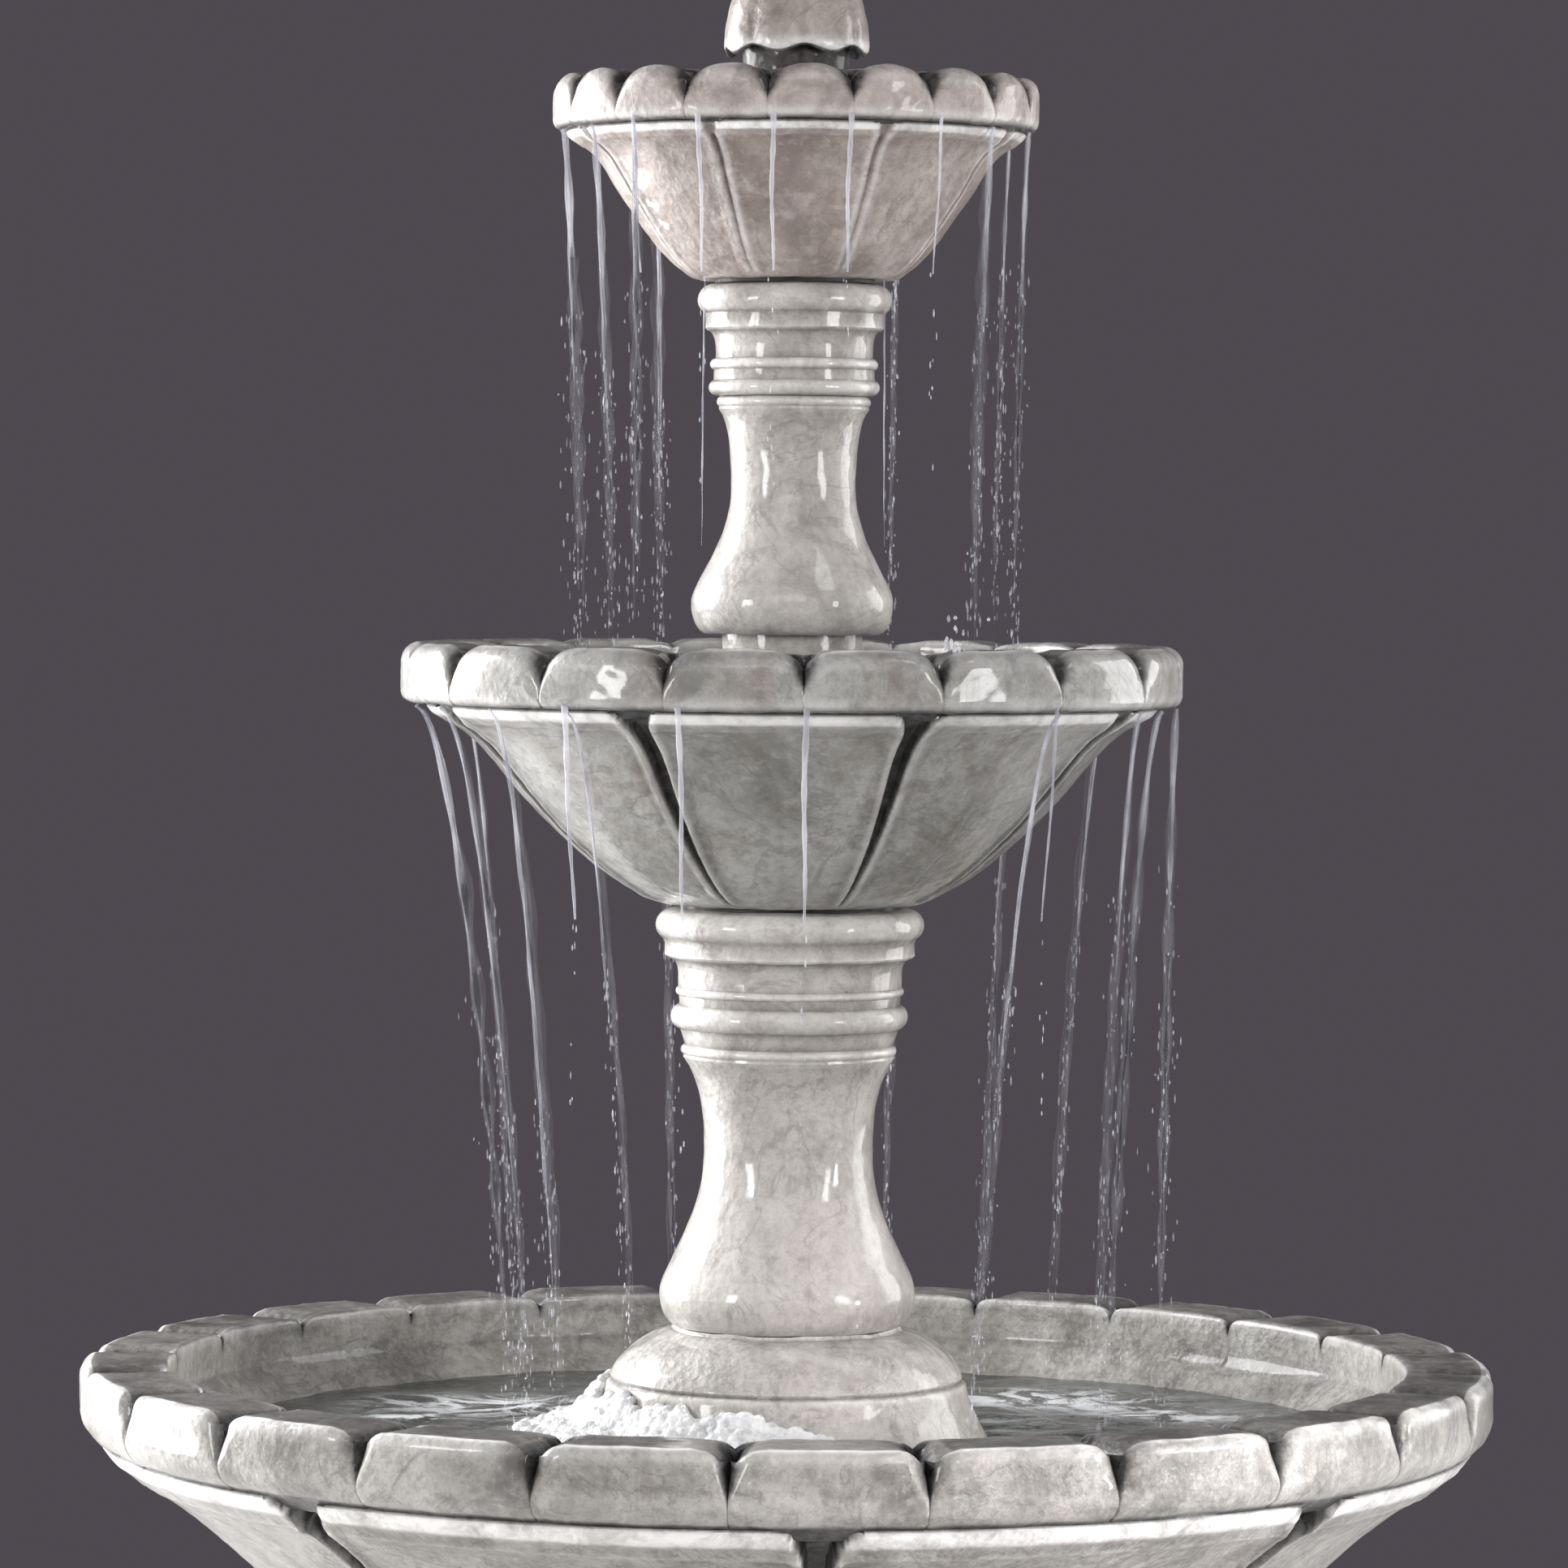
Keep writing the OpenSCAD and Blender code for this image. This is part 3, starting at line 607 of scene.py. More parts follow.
def bowl_relief(bowl, lobe_soft, lobe_depth, gap, gap_depth, gap_dirt, bead):
    """The lobes, panels, painted shade along the seam under the lobes and unevenness of a bowl, for turned().
    """
    band = [(bowl.band_low_r, bowl.rim_low - bowl.band_h), (bowl.band_high_r, bowl.rim_low)]
    seam_length = float(np.sum(np.hypot(*np.diff(np.array(bowl.under() + band), axis=0).T)))

    def relief(theta, r, z, normal_z, length):
        rim_shift, rim_darkening, rim_pale = rim_relief(bowl, lobe_soft, lobe_depth, theta, r, z)
        shift, dirt, pale = panel_relief(bowl, gap, gap_depth, gap_dirt, bead, theta, r, length, seam_length)
        seam = ridge(z, bowl.rim_low + 0.5 * MM, 2.4 * MM) * (r > bowl.band_high_r - 3 * MM)
        inside = (r < bowl.inner + 1 * MM) & (length > 1.2 * seam_length)
        shift = shift + rim_shift + lumps(theta, r, z, 90, 0.45 * MM)
        # Painted shade along the seam under the lobes and faintly on the inside wall.
        dirt = dirt + rim_darkening + 0.9 * seam + 0.06 * inside
        pale = pale + rim_pale
        return shift, dirt, pale * (1 - np.clip(dirt, 0, 1))

    return relief


def fit(obj, body, node):
    """Says which body a stone piece rides and which CAD node it stands for."""
    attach(obj, body)
    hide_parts(node)


def carve(obj, cutters, solver="FAST"):
    """Cuts solids out of an object and removes them."""
    for cutter in cutters:
        cut = obj.modifiers.new("cut", "BOOLEAN")
        cut.operation = "DIFFERENCE"
        cut.solver = solver
        cut.object = cutter
        with bpy.context.temp_override(object=obj, active_object=obj):
            bpy.ops.object.modifier_apply(modifier=cut.name)
        bpy.data.objects.remove(cutter)


def drill(obj, radius, place, sides, turn=(0, 0, 0), solver="FAST"):
    """Bores a straight hole for the cord, upright unless it is turned."""
    bpy.ops.mesh.primitive_cylinder_add(vertices=sides, radius=radius, depth=0.14, location=place,
                                        rotation=turn)
    carve(obj, [bpy.context.object], solver)


def open_clefts(obj, bowl, soft, depth):
    """Carries the clefts across the inner lip, by lowering the lip and the top of the wall inside it."""
    mesh = obj.data
    places = np.empty(3 * len(mesh.vertices))
    mesh.vertices.foreach_get("co", places)
    places = places.reshape(-1, 3)
    r = np.hypot(places[:, 0], places[:, 1])
    theta = np.arctan2(places[:, 1], places[:, 0])
    share = np.clip(1 - (bowl.top - places[:, 2]) / (1.3 * depth), 0, 1)
    share = share * (1 - smoothstep(r, bowl.inner, bowl.inner + 0.10 * bowl.rim_w))
    across = from_line(theta, bowl.lobe_phase, bowl.lobes) * bowl.inner
    shoulder = np.clip(1 - across / soft, 0, 1)
    places[:, 2] -= depth * share * (1 - np.sqrt(1 - shoulder ** 2))
    mesh.vertices.foreach_set("co", places.ravel())
    dirt = np.empty(len(mesh.vertices))
    mesh.attributes["dirt"].data.foreach_get("value", dirt)
    # Painted shade in the clefts where they cross the lip.
    dirt += 1.5 * share * np.exp(-((across / (4 * MM)) ** 2))
    mesh.attributes["dirt"].data.foreach_set("value", dirt)
    mesh.update()


def make_bowl(bowl, name, material, slot, body, lip_depth, **relief_sizes):
    """Turns a bowl, with the finest steps on its panels and wide ones inside."""
    def step(r, z):
        if r < bowl.inner - 1 * MM and z > bowl.bottom + 0.3 * (bowl.top - bowl.bottom):
            return 0.03 * bowl.outer
        return 2.2 * MM if r > bowl.end[0] - 24 * MM and z < bowl.rim_low else 0.011 * bowl.outer

    outline = refine(bowl.outline(), step)
    obj = turned(name, outline, material, bowl.angles(), bowl_relief(bowl, **relief_sizes), sharp=50)
    open_clefts(obj, bowl, 0.4 * relief_sizes["lobe_soft"], lip_depth)
    fit(obj, body, bowl.node)
    return obj


LOWER = Bowl("lower_bowl", rim=(73, 62, 10, 26), band=(17, 35, 20), foot_r=186, bend=(440, 141),
             end=(8, 220), lean=40, floor=(200, 55, 0.2), lobes=24, lobe_phase=-4.3, panel_phase=2.7,
             top_darkening=0.5, rim_pale=0.0)
MIDDLE = Bowl("middle_bowl", rim=(44, 50, 16, 10), band=(22, 33, 12), foot_r=96, bend=(225, 90),
              end=(5, 150), lean=48, floor=(70, 48, 15), lobes=18, lobe_phase=1.7, panel_phase=20,
              top_darkening=0.25, rim_pale=0.0)
TOP = Bowl("top_bowl", rim=(35, 45, 14, 9), band=(11, 17, 8), foot_r=78, bend=(142, 64),
           end=(4, 110), lean=51, floor=(52, 38, 15), lobes=18, lobe_phase=-6.6, panel_phase=23,
           top_darkening=0.15, rim_pale=0.12)

lower_stone = make_bowl(LOWER, "lower_bowl_stone", GREY_STONE, "bowl_stone", "lower_basin", lip_depth=15 * MM,
                        lobe_soft=27 * MM, lobe_depth=28 * MM, gap=19 * MM, gap_depth=17 * MM, gap_dirt=1.6,
                        bead=1.8 * MM)
drill(lower_stone, 18.4 * MM, (0, 78 * MM, LOWER.bottom + 20 * MM), sides=48)
make_bowl(MIDDLE, "middle_bowl_stone", GREEN_STONE, "bowl_stone", "middle_basin", lip_depth=7 * MM,
          lobe_soft=30 * MM, lobe_depth=19 * MM, gap=15 * MM, gap_depth=10 * MM, gap_dirt=1.3, bead=1.2 * MM)
make_bowl(TOP, "top_bowl_stone", PINK_STONE, "top_stone", "top_basin", lip_depth=7 * MM,
          lobe_soft=34 * MM, lobe_depth=17 * MM, gap=5 * MM, gap_depth=3 * MM, gap_dirt=0.42, bead=0.5 * MM)


# ---- columns

def bead(outer, height, radius, start, end, steps):
    """The round side of a bead, by the radius it reaches out to, its height and its own radius."""
    return arc((outer - radius, height), radius, start, end, steps)


def baluster(z, foot_r, bulb, waist, shoulder, collar, fillet, neck, ring, crown, top):
    """The outside of a turned column, from its foot ring to its top, as in the CAD source.

    Sizes are in millimetres and heights are above z. collar, fillet and crown are beads, each with its outer
    radius, height and own radius. ring is a radius with its lower and upper height."""
    lift = waist[1] - bulb[1]
    rise = shoulder[1] - waist[1]
    points = [(foot_r, 0)]
    points += curve((foot_r, 0), (0.5 * (foot_r + bulb[0]), 0), (bulb[0], 0.4 * bulb[1]), bulb, 10)
    points += curve(bulb, (bulb[0], bulb[1] + 0.2 * lift), (waist[0], waist[1] - 0.52 * lift), waist, 28)
    under_shoulder = (shoulder[0] - 0.125 * rise, shoulder[1] - 0.24 * rise)
    points += curve(waist, (waist[0], waist[1] + 0.5 * rise), under_shoulder,
                    (shoulder[0], shoulder[1] - 4), 20)
    points += arc((shoulder[0] - 3.5, shoulder[1] + 2), 5, -50, 66, 7)
    points += bead(*collar, -72, 68, 12)
    points += bead(*fillet, -68, 64, 7)
    points += [(neck[0], fillet[1] + fillet[2]), neck]
    points += curve(neck, (neck[0], ring[1] - 4), (neck[0] + 4, ring[1]), (ring[0] - 2, ring[1]), 8)
    points += [(ring[0], ring[1] + 2), (ring[0], ring[2] - 1)]
    points += bead(*crown, -58, 88, 14)
    points += [(crown[0] - crown[2] - 4, top)]
    return [(r * MM, z + h * MM) for r, h in points]


def plain_relief(seed, amount):
    """Uneven casting, painted shade on undersides and painted light on tops, for turned(). The seed shifts
    the unevenness.
    """
    def relief(theta, r, z, normal_z, length):
        underside = np.clip(-normal_z, 0, 1)
        # Undersides darker and tops paler: painted shade and painted light.
        return lumps(theta, r, z + seed, 70, amount), 0.25 * underside ** 2, 0.25 * np.clip(normal_z, 0, 1)

    return relief


def make_column(name, node, outside, stem, body, foot_recess):
    """A bored column: its outside, its stem where it has one, and its bore with a recess at each end.

    foot_recess is the radius and height of the recess in its foot."""
    low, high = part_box(node)
    bore, recess, recess_h = 25 * MM, 32 * MM, 22 * MM
    bottom_r, bottom_h = foot_recess
    inside = [
        (recess, high[2]), (recess, high[2] - recess_h), (bore, high[2] - recess_h),
        (bore, low[2] + bottom_h), (bottom_r, low[2] + bottom_h), (bottom_r, low[2]),
    ]
    outline = refine(stem + outside + inside + [(stem or outside)[0]], 4 * MM)
    obj = turned(name, outline, COLUMN_STONE, 220, plain_relief(low[2], 0.35 * MM), sharp=38)
    fit(obj, body, node)


lower_low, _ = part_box("lower_column")
make_column(
    "lower_column_stone", "lower_column",
    baluster(lower_low[2], foot_r=92, bulb=(106.4, 26), waist=(70, 146), shoulder=(87.8, 227),
             collar=(98.4, 257, 11), fillet=(94.6, 278, 4), neck=(92.7, 290), ring=(103.7, 306, 319),
             crown=(111.4, 333, 13), top=347),
    [], "lower_baluster", (46.5 * MM, 13.5 * MM),
)
upper_low, upper_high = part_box("upper_column")
turned_z = upper_high[2] - 290 * MM
STEM_R = 58 * MM
make_column(
    "upper_column_stone", "upper_column",
    baluster(turned_z, foot_r=70, bulb=(83.8, 26), waist=(51.7, 123), shoulder=(62.5, 190),
             collar=(71, 204, 6.5), fillet=(69.6, 223, 5), neck=(65, 234), ring=(74, 251, 262),
             crown=(80.5, 276, 13), top=290),
    [(STEM_R, upper_low[2]), (STEM_R, turned_z)], "upper_baluster", (32 * MM, 10 * MM),
)


# ---- pump cover, pedestal and plinth

def make_pump_cover():
    """The stepped round cover that stands in the pool over the pump, with three inlets at its foot."""
    low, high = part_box("pump_cover")
    z = low[2]
    top = high[2] - 12 * MM
    step = top - 42 * MM
    foot_r, wall_r, tube_r = 0.187, 0.140, 0.025
    outline = [(foot_r, z), (foot_r, z + 0.020)]
    outline += curve((foot_r, z + 0.020), (foot_r, z + 0.110), (0.172, z + 0.165), (0.168, z + 0.190), 14)
    outline += curve((0.168, z + 0.190), (0.161, z + 0.203), (0.152, z + 0.218), (0.149, z + 0.236), 12)
    outline += [(0.148, step - 5 * MM), (0.1445, step - 3 * MM), (0.146, step)]
    outline += curve((0.146, step), (0.142, step + 0.019), (0.118, step + 0.034), (0.096, top - 3 * MM), 14)
    outline += [(0.094, top), (0.045, top), (0.045, high[2]), (tube_r, high[2]), (tube_r, z + 0.232)]
    outline += curve((tube_r, z + 0.232), (0.100, z + 0.230), (0.137, z + 0.190), (wall_r, z + 0.120), 14)
    outline += [(wall_r, z), (foot_r, z)]
    relief = plain_relief(z, 0.7 * MM)
    cover = turned("pump_cover_stone", refine(outline, 5 * MM), COVER_STONE, 240, relief, sharp=38)
    inlet_at = 0.16
    inlet = (0.1, 0.060, 0.068)
    cutters = []
    for turn in (FRONT, 0, pi):
        bpy.ops.mesh.primitive_cube_add(size=1, location=at(turn, inlet_at, z))
        cutters.append(bpy.context.object)
        cutters[-1].scale = inlet
        cutters[-1].rotation_euler = (0, 0, turn)
    carve(cover, cutters)
    fit(cover, "cover", "pump_cover")


def make_plinth():
    """The stepped slab that the pedestal stands on."""
    _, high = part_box("base_plinth")
    radius, height = high[0], high[2]
    hole_r, corner = 0.060, 8 * MM
    outline = [(hole_r, 0), (radius - corner, 0)]
    outline += arc((radius - corner, corner), corner, -90, 0, 5)
    outline += arc((radius - corner, height - 26 * MM), corner, 0, 90, 6)
    outline += [(radius - 20 * MM, height - 18 * MM)]
    outline += arc((radius - 26 * MM, height - 6 * MM), 6 * MM, 0, 90, 6)
    outline += [(hole_r, height), (hole_r, 0)]
    plinth = turned("plinth_stone", refine(outline, 7 * MM), BASE_STONE, 220, plain_relief(0, 0.6 * MM))
    fit(plinth, "pedestal", "base_plinth")


def make_pedestal():
    """The waisted pedestal, with a hole for the cord at the back of its foot."""
    low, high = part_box("base_pedestal")
    z0, z1 = low[2], high[2]
    foot, head, waist, waist_z, hollow = 0.200, 0.196, 0.142, 0.205, 0.106
    ankle, ankle_z = foot - 18 * MM, z0 + 48 * MM
    neck, neck_z = head - 14 * MM, z1 - 30 * MM
    fall = waist_z - ankle_z
    rise = neck_z - waist_z
    outline = [(foot, z0), (foot, z0 + 36 * MM)]
    outline += arc((foot - 4 * MM, z0 + 36 * MM), 4 * MM, 0, 90, 4)
    outline += [(foot - 14 * MM, z0 + 40 * MM), (ankle, ankle_z)]
    outline += curve((ankle, ankle_z), (ankle, ankle_z + 0.6 * fall), (waist, waist_z - 0.6 * fall),
                     (waist, waist_z), 22)
    outline += curve((waist, waist_z), (waist, waist_z + 0.55 * rise), (neck, neck_z - 0.55 * rise),
                     (neck, neck_z), 22)
    outline += arc((head - 8 * MM, z1 - 22 * MM), 8 * MM, -90, 0, 5)
    outline += arc((head - 8 * MM, z1 - 8 * MM), 8 * MM, 0, 90, 5)
    outline += [(hollow, z1), (hollow, z0), (foot, z0)]
    pedestal = turned("pedestal_stone", refine(outline, 6 * MM), BASE_STONE, 240, plain_relief(3, 0.6 * MM))
    drill(pedestal, 12 * MM, (0, 0.155, z0 + 22 * MM), sides=40, turn=(pi / 2, 0, 0), solver="EXACT")
    fit(pedestal, "pedestal", "base_pedestal")


make_pump_cover()
make_plinth()
make_pedestal()


# ---- finial

def make_finial():
    """A closed bud whose soft ribs end in a scalloped lip, on a narrow hollow stem."""
    low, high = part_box("finial")
    radius = high[0]
    lip = high[2] - 108 * MM
    crown = high[2] - 14 * MM
    ribs = 8
    rib_phase = FRONT + 0.12
    bore_r, stem_r, flare_r = 0.031, 0.044, 0.050
    body = [(bore_r, low[2]), (stem_r, low[2]), (stem_r, lip + 4 * MM), (flare_r, lip + 6 * MM)]
    body += [(radius - 5 * MM, lip)]
    body += curve((radius - 5 * MM, lip), (radius - 1 * MM, lip - 2 * MM), (radius, lip + 2 * MM),
                  (radius, lip + 9 * MM), 8)
    body += curve((radius, lip + 9 * MM), (radius - 1 * MM, crown - 42 * MM), (34 * MM, crown - 12 * MM),
                  (14 * MM, crown), 34)
    body += curve((14 * MM, crown), (9 * MM, crown + 3 * MM), (9 * MM, crown + 12 * MM),
                  (0.6 * MM, high[2]), 10)
    body += [(0.6 * MM, lip + 14 * MM), (bore_r, lip + 13 * MM), (bore_r, low[2])]

    def relief(theta, r, z, normal_z, length):
        across = from_line(theta, rib_phase, ribs) * r
        high_up = smoothstep(z, lip - 1 * MM, lip + 12 * MM)
        close_in = 1 - smoothstep(z, lip + 70 * MM, lip + 104 * MM)
        valley = np.exp(-((across / (5.5 * MM)) ** 2)) * (r > 0.046)
        shift = -1.6 * MM * valley * close_in * (0.4 + 0.6 * high_up) + lumps(theta, r, z, 90, 0.4 * MM)
        under_lip = (z < lip + 8 * MM) * ((normal_z < -0.4) | (r < 0.048))
        # Painted shade in the rib valleys and a painted shadow under the lip and on the stem.
        dirt = 0.20 * valley * close_in * high_up + 0.95 * under_lip
        # Painted highlight along the lip.
        return shift, dirt, 0.8 * ridge(z, lip + 5 * MM, 5 * MM) * (r > flare_r)

    obj = turned("finial_stone", refine(body, 2.5 * MM), PINK_STONE, 240, relief, sharp=45)
    for v in obj.data.vertices:
        x, y, z = v.co
        r = hypot(x, y)
        if r > radius - 14 * MM and z < lip + 14 * MM:
            across = float(from_line(atan2(y, x), rib_phase, ribs))
            droop = cos(across * ribs / 2) ** 2
            v.co.z += (3.5 - 6 * (1 - droop)) * MM * (1 - max(0, (z - lip) / (14 * MM)))
    fit(obj, "bud", "finial")


make_finial()


# ---- pools, foam and falling water

def pool(name, inner, outer, z, body, chop, foam, columns=300, rows=60):
    """A ring of water with a rippled top, closed 6 mm below its edges. foam tells how white a place is."""
    vertices, weight = [], []
    for i in range(rows):
        r = inner + (outer - inner) * i / (rows - 1)
        for j in range(columns):
            turn = 2 * pi * j / columns
            x, y, _ = at(turn, r, z)
            edge = min(1, (outer - r) / 0.02) * min(1, (r - inner) / 0.01)
            swell = noise.noise(Vector((x * 9, y * 9, 0.3)))
            swell += 0.6 * noise.noise(Vector((x * 26, y * 26, 2.1)))
            vertices.append((x, y, z + chop * swell * (0.3 + 0.7 * edge)))
            weight.append(foam(x, y, r, turn))
    for r in (outer, inner):
        vertices += [at(2 * pi * j / columns, r, z - 6 * MM) for j in range(columns)]
        weight += [0.0] * columns
    obj = new_object(name, vertices, ring_faces(rows + 2, columns), POOL, sharp=60)
    shade(obj, "foam", weight)
    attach(obj, body)


def froth(name, inner, reach, z, height, body, amount, lump, count, seed):
    """Foam piled against a foot: round lumps melted into one soft body.

    It is highest and widest where amount(angle) is near 1. reach is its width, lump the largest radius."""
    rng = random.Random(seed)
    parts = Parts()
    for _ in range(count):
        turn = rng.uniform(0, 2 * pi)
        pile = amount(turn) * (0.85 + 0.4 * noise.noise(Vector(at(turn, 3, seed))))
        out = rng.random() ** 1.6
        if pile < 0.1:
            continue
        size = lump * rng.uniform(0.55, 1.0) * (0.5 + 0.5 * pile)
        heap = 0.45 * (1 - out ** 2) + 0.55 * max(0, 1 - out / 0.3)
        level = max(0.0, height * pile * heap * rng.uniform(0.75, 1.0) - size)
        lean = 0.4 * level
        parts.ball(at(turn, inner + 0.4 * size + reach * pile * out - lean, z + level), size)
    obj = parts.object(name, FOAM)
    melt = obj.modifiers.new("melt", "REMESH")
    melt.mode = "VOXEL"
    melt.voxel_size = 0.14 * lump
    soften = obj.modifiers.new("soften", "SMOOTH")
    soften.factor, soften.iterations = 0.5, 3
    with bpy.context.temp_override(object=obj, active_object=obj):
        bpy.ops.object.modifier_apply(modifier=melt.name)
        bpy.ops.object.modifier_apply(modifier=soften.name)
    obj.data.polygons.foreach_set("use_smooth", [True] * len(obj.data.polygons))
    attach(obj, body)


def falling(start, end, t):
    """The radius and height of water a share t of the way down. It moves inwards most near the top."""
    return start[0] + (end[0] - start[0]) * t ** 0.55, start[1] + (end[1] - start[1]) * t


def thread(parts, rng, angle, start, end, width, first, last, fray=0.35):
    """Water between two shares of the way down: a soft thread that sways, frays and thins out at its ends."""
    sway_a, sway_b = rng.uniform(0, 6), rng.uniform(0, 6)
    path, widths = [], []
    for i in range(41):
        u = i / 40
        t = first + (last - first) * u
        r, z = falling(start, end, t)
        sway = (1.6 * t * sin(9 * t + sway_a) + 0.5 * sin(31 * t + sway_b)) * MM
        path.append(at(angle + sway / r, r, z))
        taper = min(1, 3 * (1 - u)) * min(1, 0.7 + 3 * u)
        widths.append(width * max(0.12, taper * (1 - fray * sin(23 * t + sway_b) ** 2)))
    parts.add(*sweep_tube(path, widths))


def beads(parts, rng, angle, start, end, first, count, spread):
    """Small drops that the stream has broken into."""
    for _ in range(count):
        t = first + (0.985 - first) * rng.random()
        r, z = falling(start, end, t)
        place = at(angle + rng.gauss(0, spread) / r, r + rng.gauss(0, spread), z)
        parts.drop(place, rng.uniform(0.35, 0.85) * MM, rng.uniform(1.0, 4.5) * MM)


class Fall:
    """The water of one fall, in a clear, a soft and a faint part."""

    def __init__(self):
        self.clear, self.soft, self.faint = Parts(), Parts(), Parts()

    def stream(self, rng, angle, start, end, width, strong):
        """A ribbon for the first share of the way, a veil along most of it, and beads below the ribbon."""
        thread(self.soft, rng, angle, start, end, width, 0, strong)
        thread(self.soft, rng, angle, start, end, 0.7 * width, 0, 1.5 * strong)
        for _ in range(2):
            off = rng.gauss(0, 0.4 * width)
            last = strong * rng.uniform(0.7, 1.3)
            thread(self.clear, rng, angle + off / start[0], start, end, 0.7 * MM, 0, last)
        for _ in range(5):
            off = rng.gauss(0, 1.6 * width)
            first, last = rng.uniform(0.0, 0.35), rng.uniform(0.75, 0.99)
            wide = width * rng.uniform(0.8, 1.8)
            thread(self.faint, rng, angle + off / start[0], start, end, wide, first, last, 0.8)
        beads(self.clear, rng, angle, start, end, strong, 24, 1.1 * width)
        beads(self.soft, rng, angle, start, end, strong, 90, 1.6 * width)

    def ride(self, name, body):
        looks = ((self.clear, "", FALL), (self.soft, "_ribbons", RIBBON), (self.faint, "_veil", VEIL))
        for parts, ending, material in looks:
            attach(parts.object(name + ending, material), body)


def fall_from(bowl, name, body, water_z, seed, back_landing, front):
    """Free streams from the rim.

    front lists degrees from the viewer's side, the landing radius and half the width of the stream, both in
    millimetres, and the share of the way that it stays whole. Behind, nearly every second cleft has one."""
    rng = random.Random(seed)
    fall = Fall()
    start = (bowl.outer - 5 * MM, bowl.rim_low - 1 * MM)
    for azimuth, landing, width, strong in front:
        fall.stream(rng, FRONT + radians(azimuth), start, (landing * MM, water_z), width * MM, strong)
    for i in range(bowl.lobes):
        angle = bowl.lobe_phase + 2 * pi * i / bowl.lobes
        from_front = abs(wrapped(angle - FRONT))
        if from_front > radians(112) and rng.random() < 0.45:
            fall.stream(rng, angle, start, (back_landing, water_z), 1.6 * MM, 0.25)
    fall.ride(name, body)


def trickles(bowl, name, body, seed, places):
    """Broad faint streaks that leave the lobes, fall just in front of the panels and end in a few drops.

    places lists degrees from the viewer's side and half widths in millimetres."""
    rng = random.Random(seed)
    parts = Parts()
    start = bowl.rim_low + 4 * MM
    for azimuth, width in places:
        angle = FRONT + radians(azimuth)
        phase = rng.uniform(0, 6)
        path, widths = [], []
        for i in range(41):
            t = i / 40
            sway = 0.8 * MM * sin(7 * t + phase)
            z = start + (bowl.bottom - start) * t
            path.append(at(angle + sway / bowl.outer, bowl.outer * (0.995 - 0.05 * t), z))
            widths.append(width * MM * (1 - 0.6 * t) * (0.8 + 0.3 * sin(15 * t + phase) ** 2))
        parts.add(*sweep_tube(path, widths))
        for _ in range(9):
            fall = rng.uniform(0, 0.18)
            parts.drop(at(angle + rng.gauss(0, 2 * MM) / bowl.outer, 0.95 * bowl.outer, bowl.bottom - fall),
                       rng.uniform(0.4, 0.8) * MM, rng.uniform(1.5, 4) * MM)
    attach(parts.object(name, TRICKLE), body)


def splash(name, body, angle, r, z, height, drops, seed):
    """A few drops thrown up where water lands."""
    rng = random.Random(seed)
    parts = Parts()
    for _ in range(drops):
        rise = rng.random() ** 1.6
        spread = (3 + 9 * rise) * MM
        place = at(angle + rng.gauss(0, spread) / r, r + rng.gauss(0, spread), z + height * rise)
        parts.drop(place, rng.uniform(0.6, 1.7) * MM, rng.uniform(1.0, 3.2) * MM)
    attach(parts.object(name, FALL), body)


LOWER_WATER = LOWER.top - 65 * MM
MIDDLE_WATER = MIDDLE.top - 13 * MM
TOP_WATER = TOP.top - 14 * MM


def lower_foam(x, y, r, turn):
    """White lace near the cover, most of it at the front left, and in patches where the streams land."""
    near = exp(-((r - 0.18) / 0.06) ** 2) * (0.4 + 0.6 * max(0, cos(turn - radians(215))))
    patches = 0
    for patch_x, patch_y, size in (
        (-0.25, 0.20, 0.06), (-0.31, 0.10, 0.03), (0.235, 0.26, 0.06), (0.33, 0.165, 0.04),
        (0.16, -0.26, 0.06),
    ):
        patches += exp(-(((x - patch_x) / (1.6 * size)) ** 2) - ((y - patch_y) / size) ** 2)
    return min(1.5, near + 1.4 * patches + 0.04)


pool("lower_pool_water", inner=0.1690, outer=0.492, z=LOWER_WATER, body="lower_basin", chop=3.4 * MM,
     foam=lower_foam, columns=420, rows=90)
pool("middle_pool_water", inner=0.0585, outer=0.2775, z=MIDDLE_WATER, body="middle_basin", chop=1.6 * MM,
     foam=lambda x, y, r, turn: 0.5)
pool("top_pool_water", inner=0.0445, outer=0.1640, z=TOP_WATER, body="top_basin", chop=1.2 * MM,
     foam=lambda x, y, r, turn: 0.8)


def cover_foam(turn):
    """Most foam lies at the cover's front left, none behind it."""
    off = degrees(wrapped(turn - radians(210)))
    beyond = max(0, abs(off) - 42)
    return exp(-((beyond / (34 if off > 0 else 20)) ** 2))


def stem_foam(turn):
    """A thin collar of foam round the finial's stem, thickest at the front left."""
    return 0.30 + 0.70 * max(0, cos(turn - radians(220))) ** 1.5


froth("lower_foam", inner=0.168, reach=52 * MM, z=LOWER_WATER, height=50 * MM, body="lower_basin",
      amount=cover_foam, lump=8 * MM, count=4500, seed=1)
froth("top_foam", inner=0.044, reach=16 * MM, z=TOP_WATER, height=14 * MM, body="top_basin",
      amount=stem_foam, lump=4 * MM, count=500, seed=5)

